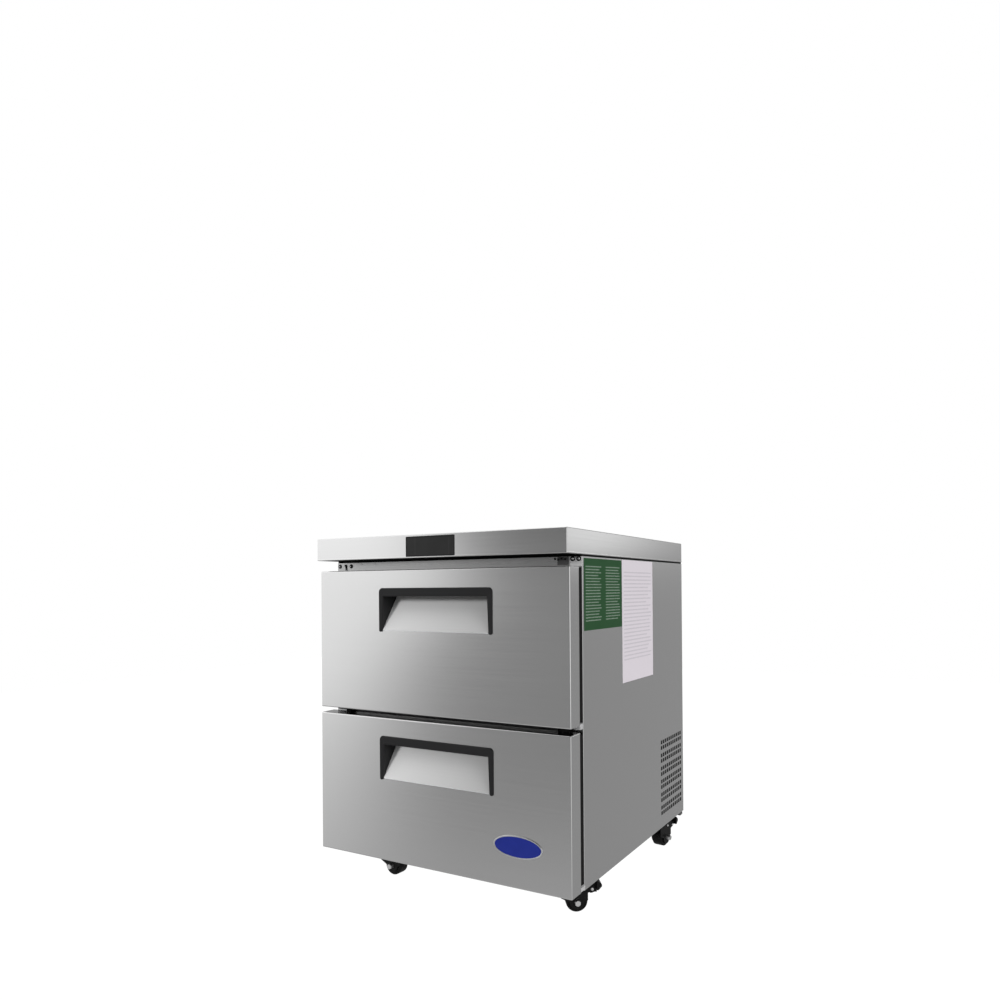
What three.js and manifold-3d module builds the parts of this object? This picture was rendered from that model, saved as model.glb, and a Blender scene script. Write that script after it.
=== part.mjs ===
// Undercounter drawer refrigerator on casters, in millimetres, +Z up.
// The origin is on the floor under the middle of the cabinet, and the drawers face -Y.

import * as THREE from 'three';
import { mergeGeometries, mergeVertices } from 'three/addons/utils/BufferGeometryUtils.js';
import Module from 'manifold-3d';

const wasm = await Module();
wasm.setup();

// Whole unit
const unitWidth = 698.5;
const unitDepth = 762;
const unitHeight = 866;
const clearance = 0.3;
const overrun = 2;
const sheet = 1.2;

// Worktop
const fasciaHeight = 54.5;
const boardShow = 4;
const boardInset = 1.2;
const sideOverhang = 0.45;

// Cabinet shell
const frameSetback = 74.4;
const rearSetback = 1;
const stileWidth = 48.8;
const frameDepth = 12;
const ceilingWall = 46.5;
const floorWall = 52;
const backWall = 50;
const linerSheet = 1;

// Machine compartment at the rear bottom
const machineDepth = 200;
const machineHeight = 240;
const grilleInset = 7;
const grilleDrop = 10;
const grilleReturn = 18;

// Side vents: pairs of rows of square-edged holes
const ventPairs = 6;
const ventColumns = 11;
const ventFromRear = 18;
const ventFromBase = 34.3;
const ventPairPitch = 35.2;
const ventRowPitch = 14.9;
const ventColumnPitch = 16.4;
const ventHoleWidth = 9;
const ventHoleHeight = 8.8;

// Rear grille slots
const slotRows = 9;
const slotColumns = 3;
const slotMargin = 72.3;
const slotGap = 50;
const slotHeight = 8;
const slotPitch = 20;

// Front rails
const mullionHeight = 60;
const mullionDepth = 30;
const endBlockWidth = 18;
const endBlockFootMargin = 0.4;
const endBlockHeadMargin = 3.7;
const endBlockGap = 2.5;
const endTabHeight = 12;
const baseLipMargin = 0.4;
const baseLipGap = 1.1;

// Display on the worktop fascia
const displayWidth = 138;
const displayHead = 4.5;
const displayDepth = 28;
const displayFoot = 2.4;
const displayRim = 4;
const windowThickness = 3;
const windowInset = 0.4;

// Drawers
const drawerOverlap = 0.2;
const drawerTopGap = 22.3;
const drawerSetback = 12.8;
const lowerDrawerFoot = -0.4;
const drawerGap = 13.6;
const gasketWidth = 18;
const gasketDepth = 13.5;
const gasketInset = 5;
const upperGasketFoot = 7.5;
const lowerGasketFoot = 15;
const fieldGap = 3.3;
const fieldMargin = 4;

// Drawer handles: an arched black frame round a sloping steel pocket
const handleWidth = 320;
const handleHeight = 105;
const handleDrop = 43;
const handleBar = 20.6;
const handleLeg = 13.6;
const handleRadius = 9.5;
const handleFootRadius = 4;
const handleProud = 2.5;
const barDepth = 9;
const pocketBacking = 7;
const pocketWall = 3;
const pocketRoof = 3;
const pocketRise = 14;
const pocketFoot = 5;
const plateThickness = 1.5;

// Pan racks
const rackToStep = 39.9;
const rackHeight = 70;
const rackDrop = 91;
const rackSheet = 2;
const panLedgeWidth = 30.6;
const panHoleToRear = 13;
const smallHoleDepth = 52;
const panHoleFromFront = 12;
const panBar = 18;

// Three-part slides
const slideHeight = 46;
const slideWall = 1.8;
const slideDepth = 9.5;
const slideDrop = 58;
const slideToStep = 22.6;
const slideFromFrame = 14;

// Evaporator
const evaporatorFromSide = 69;
const evaporatorFromStep = 48;
const evaporatorDepth = 125;
const evaporatorFromCeiling = 22;
const evaporatorFanRadius = 78;
const coilFins = 14;
const coilDepth = 50;
const coilFinDepth = 26;
const coilMargin = 24;
const evaporatorMotorRadius = 26;
const evaporatorMotorDepth = 30;
const motorBarHeight = 16;
const motorBarDepth = 3;
const fanFromPlate = 4;

// Condensing unit
const compressorRadius = 62;
const compressorHeight = 168;
const compressorShoulder = 34;
const compressorFromSide = 169;
const compressorFootLength = 190;
const compressorFootWidth = 120;
const compressorFootHeight = 14;
const condenserThickness = 40;
const condenserHeadroom = 35;
const condenserEndGap = 5;
const condenserFromSide = 9;
const condenserFins = 12;
const finShare = 0.5;
const condenserFanMargin = 10.5;
const condenserFanGap = 8;
const motorRadius = 32;
const motorLength = 55;
const motorPostWidth = 40;
const motorFootWidth = 70;
const fanHubRadius = 20;
const fanHubDepth = 16;
const fanBlades = 5;
const bladeChord = 30;
const bladeThickness = 2;
const bladePitch = Math.PI / 7;
const bladeRoot = 2;

// Mains inlet gland in the rear grille
const glandFlangeRadius = 14;
const glandFlangeDepth = 3;
const glandRadius = 9;
const glandDepth = 22;
const glandBore = 5;
const glandFromSide = 60;
const glandFromBase = 30;

// Casters
const degree = Math.PI / 180;
const frontRightTurn = 35 * degree;
const frontLeftTurn = -3 * degree;
const rearRightTurn = 82 * degree;
const rearLeftTurn = 98 * degree;
const wheelSegments = 24;
const wheelRadius = 25.4;
const wheelWidth = 30;
const treadRound = 3.5;
const tyreDepth = 6.5;
const webHalfWidth = 8;
const hubRadius = 9;
const hubProud = 2;
const axleRadius = 4;
const casterTrail = 31;
const frontCasterInset = 93.8;
const frontCasterBehind = 81.6;
const rearCasterInset = 52.5;
const rearCasterAhead = 92;
const wheelRoom = 22.4;
const bearingHeight = 10;
const forkSheet = 2.5;
const forkFront = 20;
const forkRear = 34;
const forkLip = 18;
const axleBoss = 18;
const boltRadius = 6.8;
const boltHeight = 10;
const pinRadius = 3;
const plateLength = 72;
const plateWidth = 58;
const plateSheet = 2.5;
const cupRadius = 21;
const kingpinRadius = 6;
const kingpinHeadRadius = 10;
const kingpinHeadDepth = 4;
const cheekFront = 6;
const cheekRise = 9;
const cheekFoot = 28;
const cheekBehindAxle = 25;
const brakeBehind = 35;
const brakeDrop = 27;
const brakeSideGap = 1.8;
const brakeEye = 8;
const brakeShoeDrop = 10;
const brakeShoeWidth = 5;
const brakeRise = 20;
const pedalStart = 9;
const pedalLength = 12;
const pedalWidth = 54;
const pedalCorner = 4;
const pedalHeel = 0.5;

// Cabinet heights, widths and depths worked out from the sizes above
const topBase = unitHeight - fasciaHeight;
const cabinetTop = topBase - boardShow;
const cabinetWidth = unitWidth - 2 * sideOverhang;
const halfCabinet = cabinetWidth / 2;
const halfOpening = halfCabinet - stileWidth;
const forkTop = 2 * wheelRadius + wheelRoom + kingpinHeadDepth + clearance + forkSheet;
const casterHeight = forkTop + bearingHeight;
const frontY = -unitDepth / 2;
const frameY = frontY + frameSetback;
const rearY = unitDepth / 2 - rearSetback;
const linerFrontY = frameY + frameDepth + clearance;
const floorZ = casterHeight + floorWall;
const ceilingZ = cabinetTop - ceilingWall;
const machineY = rearY - machineDepth;
const machineZ = casterHeight + machineHeight;
const stepY = machineY - backWall;
const stepZ = machineZ + backWall;
const linerBackY = rearY - backWall;
const halfLiner = halfOpening - linerSheet;
const foamHalf = halfCabinet - sheet - clearance;
const foamBase = casterHeight + sheet + clearance;
const foamTop = cabinetTop - clearance;
const foamBackY = rearY - sheet - clearance;
const grilleY = rearY - grilleInset;
const displayHeight = fasciaHeight - displayFoot - displayHead;

// Drawer sizes worked out from the room that the cabinet leaves them
const drawerWidth = cabinetWidth + 2 * drawerOverlap;
const lowerDrawerBase = casterHeight + lowerDrawerFoot;
const drawerHeight = (cabinetTop - drawerTopGap - lowerDrawerBase - drawerGap) / 2;
const upperDrawerBase = lowerDrawerBase + drawerHeight + drawerGap;
const drawerBackGap = gasketDepth + 2 * clearance;
const drawerThickness = frameSetback - drawerSetback - drawerBackGap;
const fieldProud = gasketDepth + clearance - fieldGap;
const pocketDepth = drawerThickness + fieldProud - pocketBacking;
const rackTop = drawerHeight - rackDrop;
const slideFoot = rackTop - slideDrop;

// The front rails fill the room between the gaskets and stay clear of the drawers' backs
const endBlockFoot = lowerDrawerBase + drawerHeight - gasketInset + endBlockFootMargin;
const endBlockHeight = upperDrawerBase + upperGasketFoot - endBlockHeadMargin - endBlockFoot;
const mullionMiddle = endBlockFoot + endBlockHeight / 2;
const mullionBase = mullionMiddle - mullionHeight / 2;
const endBlockProud = drawerBackGap - endBlockGap;
const baseLipHeight = lowerDrawerBase + lowerGasketFoot - foamBase - baseLipMargin;
const baseLipProud = drawerBackGap - baseLipGap;

// Caster sizes worked out from the wheel and the fork
const halfSegment = Math.PI / wheelSegments;
const axleHeight = wheelRadius * Math.cos(halfSegment);
const hubHalfWidth = wheelWidth / 2 + hubProud;
const cheekIn = hubHalfWidth + clearance;
const brakeAcross = casterTrail + brakeBehind;
const brakeUp = forkTop - brakeDrop;
const brakeWidth = 2 * (cheekIn - brakeSideGap);

const finish = {
  steel: { color: 0xa9abad, roughness: 0.34, metalness: 0.9 },
  fascia: { color: 0xb4b5b6, roughness: 0.3, metalness: 0.9 },
  galvanised: { color: 0x9a9d9f, roughness: 0.5, metalness: 0.8 },
  aluminium: { color: 0xc6c8ca, roughness: 0.4, metalness: 0.85 },
  black: { color: 0x17181a, roughness: 0.5, metalness: 0 },
  darkGlass: { color: 0x202225, roughness: 0.12, metalness: 0 },
  rubber: { color: 0x101112, roughness: 0.8, metalness: 0 },
  gasket: { color: 0x2a2b2d, roughness: 0.75, metalness: 0 },
  board: { color: 0x121314, roughness: 0.85, metalness: 0 },
  foam: { color: 0xd8cfae, roughness: 0.95, metalness: 0 },
  liner: { color: 0xc9cbcc, roughness: 0.45, metalness: 0.7 },
  forkBlack: { color: 0x0f1011, roughness: 0.45, metalness: 0.3 },
};

const model = new THREE.Group();

function add(parent, name, geometry, look, x = 0, y = 0, z = 0) {
  const mesh = new THREE.Mesh(geometry, new THREE.MeshStandardMaterial(look));
  mesh.name = name;
  mesh.position.set(x, y, z);
  parent.add(mesh);
  return mesh;
}

// A box from its lowest corner to its highest
function span(x0, x1, y0, y1, z0, z1) {
  const geometry = new THREE.BoxGeometry(x1 - x0, y1 - y0, z1 - z0);
  geometry.translate((x0 + x1) / 2, (y0 + y1) / 2, (z0 + z1) / 2);
  return geometry;
}

// A box as wide to the left of the middle as to the right
function across(halfWidth, y0, y1, z0, z1) {
  return span(-halfWidth, halfWidth, y0, y1, z0, z1);
}

function outline(points) {
  return new THREE.Shape(points.map(([u, v]) => new THREE.Vector2(u, v)));
}

// An outline drawn in Y and Z, drawn out along X
function alongX(shape, x0, x1, curveSegments = 4) {
  const geometry = new THREE.ExtrudeGeometry(shape, {
    depth: x1 - x0, bevelEnabled: false, curveSegments, steps: 1,
  });
  geometry.applyMatrix4(new THREE.Matrix4().set(0, 0, 1, x0, 1, 0, 0, 0, 0, 1, 0, 0, 0, 0, 0, 1));
  return geometry;
}

// An outline drawn in X and Z, drawn out along Y
function alongY(shape, y0, y1, curveSegments = 4) {
  const geometry = new THREE.ExtrudeGeometry(shape, {
    depth: y1 - y0, bevelEnabled: false, curveSegments, steps: 1,
  });
  geometry.rotateX(Math.PI / 2);
  geometry.translate(0, y1, 0);
  return geometry;
}

// A round bar along one axis
function bar(radius, from, to, axis, sides = 20) {
  const geometry = new THREE.CylinderGeometry(radius, radius, to - from, sides);
  geometry.translate(0, (from + to) / 2, 0);
  if (axis === 'x') geometry.rotateZ(-Math.PI / 2);
  if (axis === 'z') geometry.rotateX(Math.PI / 2);
  return geometry;
}

function toSolid(geometry) {
  const plain = geometry.clone();
  plain.deleteAttribute('normal');
  plain.deleteAttribute('uv');
  const merged = mergeVertices(plain);
  const vertProperties = new Float32Array(merged.attributes.position.array);
  const triVerts = new Uint32Array(merged.index.array);
  return new wasm.Manifold(new wasm.Mesh({ numProp: 3, vertProperties, triVerts }));
}

function fromSolid(solid) {
  const { vertProperties, triVerts } = solid.getMesh();
  const geometry = new THREE.BufferGeometry();
  geometry.setAttribute('position', new THREE.BufferAttribute(new Float32Array(vertProperties), 3));
  geometry.setIndex(new THREE.BufferAttribute(new Uint32Array(triVerts), 1));
  geometry.computeVertexNormals();
  return geometry;
}

function join(...geometries) {
  return fromSolid(geometries.map(toSolid).reduce((whole, piece) => whole.add(piece)));
}

function cut(geometry, ...tools) {
  return fromSolid(tools.map(toSolid).reduce((whole, tool) => whole.subtract(tool), toSolid(geometry)));
}

// Worktop: a folded steel pan, its core board and the dark edge on which it sits
function buildWorktop() {
  const half = unitWidth / 2;
  const holeBase = topBase + displayFoot - clearance;
  const holeTop = topBase + displayFoot + displayHeight + clearance;
  const halfHole = displayWidth / 2 + clearance;
  const boardFit = sheet + clearance;
  const skin = cut(
    across(half, frontY, -frontY, topBase, unitHeight),
    across(half - sheet, frontY + sheet, -frontY - sheet, topBase - overrun, unitHeight - sheet),
    across(halfHole, frontY - overrun, frontY + sheet + overrun, holeBase, holeTop),
  );
  add(model, 'worktop_skin', skin, finish.fascia);
  const step = halfCabinet - boardInset;
  const board = cut(
    join(
      across(half - boardFit, frontY + boardFit, -frontY - boardFit, topBase + clearance,
        unitHeight - boardFit),
      across(step, frameY + boardInset, rearY - boardInset, cabinetTop, topBase + overrun),
    ),
    across(halfHole, frontY - overrun, frontY + displayDepth + clearance, holeBase, holeTop),
  );
  add(model, 'worktop_board', board, finish.board);
}

function buildDisplay() {
  const half = displayWidth / 2;
  const base = topBase + displayFoot;
  const top = base + displayHeight;
  const seat = windowThickness + windowInset + clearance;
  const bezel = cut(
    across(half, frontY, frontY + displayDepth, base, top),
    across(half - displayRim, frontY - overrun, frontY + seat, base + displayRim, top - displayRim),
  );
  add(model, 'display_bezel', bezel, finish.black);
  const rim = displayRim + clearance;
  const faceY = frontY + windowInset;
  const pane = across(half - rim, faceY, faceY + windowThickness, base + rim, top - rim);
  add(model, 'display_window', pane, finish.darkGlass);
}

// Side panels: a sheet with a box-folded stile at the front and vent holes at the rear
function buildSidePanel(name, side) {
  const [inside, outside] = [side * (halfCabinet - sheet), side * halfCabinet];
  const [x0, x1] = side > 0 ? [inside, outside] : [outside, inside];
  const holes = [];
  for (let pair = 0; pair < ventPairs; pair += 1) {
    for (let row = 0; row < 2; row += 1) {
      const z = casterHeight + ventFromBase + pair * ventPairPitch + row * ventRowPitch;
      for (let column = 0; column < ventColumns; column += 1) {
        const y = rearY - ventFromRear - column * ventColumnPitch - ventHoleWidth;
        holes.push(span(x0 - overrun, x1 + overrun, y, y + ventHoleWidth, z, z + ventHoleHeight));
      }
    }
  }
  const panelTop = cabinetTop - clearance;
  const stileX = [side * halfOpening, side * halfCabinet].sort((a, b) => a - b);
  const panel = join(
    span(x0, x1, frameY, rearY, casterHeight, panelTop),
    span(...stileX, frameY, frameY + frameDepth, casterHeight, panelTop),
  );
  add(model, name, cut(panel, mergeGeometries(holes)), finish.steel);
}

function buildBack() {
  add(model, 'back_panel', across(foamHalf, rearY - sheet, rearY, machineZ, foamTop), finish.galvanised);
  const base = casterHeight - grilleDrop;
  const top = machineZ - sheet - 2 * clearance;
  const openings = [];
  const firstSlot = (base + top - (slotRows - 1) * slotPitch) / 2;
  const slotLength = (2 * (foamHalf - slotMargin) - (slotColumns - 1) * slotGap) / slotColumns;
  for (let row = 0; row < slotRows; row += 1) {
    for (let column = 0; column < slotColumns; column += 1) {
      const x = (column - (slotColumns - 1) / 2) * (slotLength + slotGap);
      const z = firstSlot + row * slotPitch;
      openings.push(span(x - slotLength / 2, x + slotLength / 2, grilleY - overrun, grilleY + sheet + overrun,
        z, z + slotHeight));
    }
  }
  const glandX = -halfCabinet + glandFromSide - glandFlangeRadius;
  const glandZ = casterHeight + glandFromBase;
  const glandHole = bar(glandRadius + clearance, grilleY - overrun, grilleY + sheet + overrun, 'y');
  glandHole.translate(glandX, 0, glandZ);
  openings.push(glandHole);
  const grille = join(
    across(foamHalf, grilleY, grilleY + sheet, base, top),
    across(foamHalf, grilleY - grilleReturn, grilleY + sheet, base, base + sheet),
  );
  add(model, 'rear_grille', cut(grille, mergeGeometries(openings)), finish.galvanised);

  const outsideY = grilleY + sheet + clearance;
  const profile = [
    [glandBore, -glandDepth], [glandRadius, -glandDepth], [glandRadius, 0],
    [glandFlangeRadius, 0], [glandFlangeRadius, glandFlangeDepth], [glandBore, glandFlangeDepth],
    [glandBore, -glandDepth],
  ].map(([r, h]) => new THREE.Vector2(r, h));
  add(model, 'cord_gland', new THREE.LatheGeometry(profile, 20), finish.black, glandX, outsideY, glandZ);
}

// Base: the steel floor under the insulation, and the front bottom rail with its lip
function buildBase() {
  add(model, 'base_pan', across(foamHalf, linerFrontY, grilleY - grilleReturn - clearance,
    casterHeight, casterHeight + sheet), finish.galvanised);
  const lipFront = frameY - baseLipProud;
  const rail = join(
    across(halfOpening - clearance, frameY - clearance, frameY + frameDepth, casterHeight, floorZ),
    across(halfCabinet - boardInset, lipFront, frameY - clearance, foamBase, foamBase + baseLipHeight),
  );
  add(model, 'bottom_rail', rail, finish.steel);
  const partition = join(
    across(foamHalf, machineY - sheet, machineY, foamBase, machineZ - clearance),
    across(foamHalf, machineY - sheet, foamBackY, machineZ - clearance - sheet, machineZ - clearance),
  );
  add(model, 'compartment_partition', partition, finish.galvanised);
}

function buildRails() {
  const half = halfOpening - clearance;
  const topRail = across(half, frameY, frameY + frameDepth, ceilingZ - linerSheet, foamTop);
  add(model, 'top_rail', topRail, finish.steel);
  const blockBase = mullionMiddle - endBlockHeight / 2;
  const tabBase = mullionMiddle + endBlockHeight / 2 - endTabHeight;
  const blockFront = frameY - endBlockProud;
  const mullionTop = mullionBase + mullionHeight;
  const pieces = [
    across(half, frameY, frameY + frameDepth, mullionBase, mullionTop),
    across(halfLiner - clearance, frameY, frameY + mullionDepth, mullionBase, mullionTop),
  ];
  for (const side of [-1, 1]) {
    const block = [side * half, side * (half - endBlockWidth)].sort((a, b) => a - b);
    const tab = [side * (half - endBlockWidth), side * (halfCabinet - boardInset)].sort((a, b) => a - b);
    pieces.push(span(...block, blockFront, frameY + clearance, blockBase, blockBase + endBlockHeight));
    pieces.push(span(...tab, blockFront, frameY - clearance, tabBase, tabBase + endTabHeight));
  }
  add(model, 'mullion', join(...pieces), finish.black);
}

// The insulation and the liner follow one stepped outline round the machine compartment
function steppedOutline(front, floor, stepBack, stepTop, back, ceiling) {
  return outline([
    [front, floor], [stepBack, floor], [stepBack, stepTop],
    [back, stepTop], [back, ceiling], [front, ceiling],
  ]);
}

function buildInsulation() {
  const around = linerSheet + clearance;
  const mouthY = linerFrontY - overrun;
  const body = alongX(steppedOutline(linerFrontY, foamBase, machineY - sheet - clearance, machineZ,
    foamBackY, foamTop), -foamHalf, foamHalf);
  const room = alongX(steppedOutline(mouthY, floorZ - around, stepY + around, stepZ - around,
    linerBackY + around, ceilingZ + clearance), -halfOpening - clearance, halfOpening + clearance);
  add(model, 'foam_insulation', cut(body, room), finish.foam);

  const shell = alongX(steppedOutline(linerFrontY, floorZ - linerSheet, stepY + linerSheet,
    stepZ - linerSheet, linerBackY + linerSheet, ceilingZ), -halfOpening, halfOpening);
  const cavity = alongX(steppedOutline(mouthY, floorZ, stepY, stepZ, linerBackY, ceilingZ - linerSheet),
    -halfLiner, halfLiner);
  add(model, 'inner_liner', cut(shell, cavity), finish.liner);
}

// A block with fins on one face, drawn in two axes
function finOutline(length, depth, fins, webDepth) {
  const pitch = length / (fins - 1 + finShare);
  const points = [[0, 0], [length, 0]];
  for (let fin = fins - 1; fin >= 0; fin -= 1) {
    points.push([fin * pitch + pitch * finShare, depth], [fin * pitch, depth]);
    if (fin > 0) points.push([fin * pitch, webDepth], [(fin - 1) * pitch + pitch * finShare, webDepth]);
  }
  return outline(points);
}

// An axial fan whose hub stands on its base, spinning about Z
function fanGeometry(radius, hub, depth) {
  const pieces = [bar(hub, 0, depth, 'z', 16)];
  const [halfChord, halfThickness] = [bladeChord / 2, bladeThickness / 2];
  for (let blade = 0; blade < fanBlades; blade += 1) {
    const geometry = span(hub - bladeRoot, radius, -halfChord, halfChord, -halfThickness, halfThickness);
    geometry.rotateX(bladePitch);
    geometry.translate(0, 0, depth / 2);
    geometry.rotateZ(blade * 2 * Math.PI / fanBlades);
    pieces.push(geometry);
  }
  return join(...pieces);
}

function buildEvaporator() {
  const half = halfLiner - evaporatorFromSide;
  const back = linerBackY - clearance;
  const front = back - evaporatorDepth;
  const top = ceilingZ - linerSheet - evaporatorFromCeiling;
  const base = stepZ + evaporatorFromStep;
  const middle = (top + base) / 2;
  const fanHole = bar(evaporatorFanRadius + fanFromPlate, front - overrun, front + sheet + overrun, 'y', 28);
  fanHole.translate(0, 0, middle);
  const housing = cut(
    across(half, front, back, base, top),
    across(half - sheet, front + sheet, back + overrun, base + sheet, top - sheet),
    fanHole,
  );
  add(model, 'evaporator_housing', housing, finish.aluminium);

  const coilHalf = half - coilMargin;
  const coilHeight = top - base - 2 * sheet - 2 * clearance;
  const coilBase = base + sheet + clearance;
  const fins = new THREE.ExtrudeGeometry(
    finOutline(2 * coilHalf, coilDepth, coilFins, coilDepth - coilFinDepth),
    { depth: coilHeight, bevelEnabled: false, steps: 1 },
  );
  fins.rotateZ(Math.PI);
  add(model, 'evaporator_coil', fins, finish.aluminium, coilHalf, back - clearance, coilBase);

  const barY = back - clearance - coilDepth - clearance - motorBarDepth;
  const motorBar = across(half - sheet - clearance, barY, barY + motorBarDepth,
    middle - motorBarHeight / 2, middle + motorBarHeight / 2);
  const motor = bar(evaporatorMotorRadius, barY - evaporatorMotorDepth, barY + motorBarDepth / 2, 'y', 20);
  motor.translate(0, 0, middle);
  add(model, 'evaporator_fan_motor', join(motorBar, motor), finish.black);

  const fanY = barY - evaporatorMotorDepth - clearance;
  const geometry = fanGeometry(evaporatorFanRadius, fanHubRadius, fanHubDepth);
  const fan = add(model, 'evaporator_fan', geometry, finish.black, 0, fanY, middle);
  fan.rotation.x = Math.PI / 2;
}

function buildCondensingUnit() {
  const floor = casterHeight + sheet + clearance;
  const roomBack = grilleY - grilleReturn;
  const middleY = (machineY + roomBack) / 2;
  const condenserLength = roomBack - machineY - 2 * condenserEndGap;
  const condenserHeight = machineHeight - condenserHeadroom;
  const condenserFanRadius = condenserLength / 2 - condenserFanMargin;

  const footHalf = compressorFootLength / 2;
  const profile = [
    [0, 0], [compressorRadius, 0], [compressorRadius, compressorHeight - compressorShoulder],
    [compressorRadius * Math.cos(Math.PI / 6), compressorHeight - compressorShoulder / 2],
    [compressorRadius / 2, compressorHeight - compressorShoulder / 8], [0, compressorHeight],
  ].map(([r, h]) => new THREE.Vector2(r, h));
  const can = new THREE.LatheGeometry(profile, 24);
  can.rotateX(Math.PI / 2);
  const feet = span(-footHalf, footHalf, -compressorFootWidth / 2, compressorFootWidth / 2,
    0, compressorFootHeight);
  const compressorX = -halfCabinet + compressorFromSide;
  add(model, 'compressor', join(can, feet), finish.black, compressorX, middleY, floor);

  const fins = new THREE.ExtrudeGeometry(finOutline(condenserLength, condenserThickness, condenserFins,
    condenserThickness * finShare), { depth: condenserHeight, bevelEnabled: false, steps: 1 });
  fins.rotateZ(-Math.PI / 2);
  const condenserX = halfCabinet - sheet - condenserFromSide - condenserThickness;
  add(model, 'condenser', fins, finish.aluminium, condenserX, middleY + condenserLength / 2, floor);

  const fanX = condenserX - condenserFanGap;
  const motorX = fanX - fanHubDepth - clearance;
  const motorZ = floor + condenserHeight / 2;
  const motor = bar(motorRadius, motorX - motorLength, motorX, 'x', 20);
  motor.translate(0, 0, motorZ);
  const halfPost = motorPostWidth / 2;
  const halfFoot = motorFootWidth / 2;
  const post = span(motorX - motorLength + halfPost / 2, motorX - halfPost / 2, -halfPost, halfPost,
    floor, motorZ);
  const foot = span(motorX - motorFootWidth, motorX, -halfFoot, halfFoot, floor, floor + sheet * 2);
  add(model, 'fan_motor', join(motor, post, foot), finish.black, 0, middleY, 0);

  const geometry = fanGeometry(condenserFanRadius, fanHubRadius, fanHubDepth);
  const fan = add(model, 'condenser_fan', geometry, finish.black, motorX + clearance, middleY, motorZ);
  fan.rotation.y = Math.PI / 2;
}

// A channel section open towards the drawer, in X and Z from its back
function channelOutline(depth, height, wall) {
  return outline([
    [0, 0], [0, height], [-depth, height], [-depth, height - wall],
    [-wall, height - wall], [-wall, wall], [-depth, wall], [-depth, 0],
  ]);
}

function addSlides(prefix, drawerBase) {
  const startY = frameY + slideFromFrame;
  const slideLength = stepY - slideToStep - startY;
  const base = drawerBase + slideFoot;
  const step = slideWall + clearance;
  const outer = alongY(channelOutline(slideDepth, slideHeight, slideWall), startY, startY + slideLength);
  const inner = alongY(channelOutline(slideDepth - slideWall, slideHeight - 2 * step, slideWall),
    startY, startY + slideLength);
  const wallX = halfLiner - clearance;
  for (const [label, side] of [['left', -1], ['right', 1]]) {
    const cabinetMember = add(model, `${prefix}_slide_cabinet_${label}`, outer, finish.galvanised,
      side * wallX, 0, base);
    const middleMember = add(model, `${prefix}_slide_middle_${label}`, inner, finish.galvanised,
      side * (wallX - step), 0, base + step);
    if (side < 0) {
      cabinetMember.rotation.y = Math.PI;
      cabinetMember.position.z += slideHeight;
      middleMember.rotation.y = Math.PI;
      middleMember.position.z += slideHeight - 2 * step;
    }
  }
}

// An arch with rounded shoulders and small round feet, seen from the front
function archOutline(halfOuter, halfInner, top, innerTop, foot) {
  const shape = new THREE.Shape();
  const r = handleRadius;
  const f = handleFootRadius;
  shape.moveTo(-halfInner, foot);
  shape.lineTo(-halfInner, innerTop);
  shape.lineTo(halfInner, innerTop);
  shape.lineTo(halfInner, foot);
  shape.lineTo(halfOuter - f, foot);
  shape.absarc(halfOuter - f, foot + f, f, -Math.PI / 2, 0, false);
  shape.absarc(halfOuter - r, top - r, r, 0, Math.PI / 2, false);
  shape.absarc(-halfOuter + r, top - r, r, Math.PI / 2, Math.PI, false);
  shape.absarc(-halfOuter + f, foot + f, f, Math.PI, Math.PI * 1.5, false);
  shape.closePath();
  return shape;
}

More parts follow.
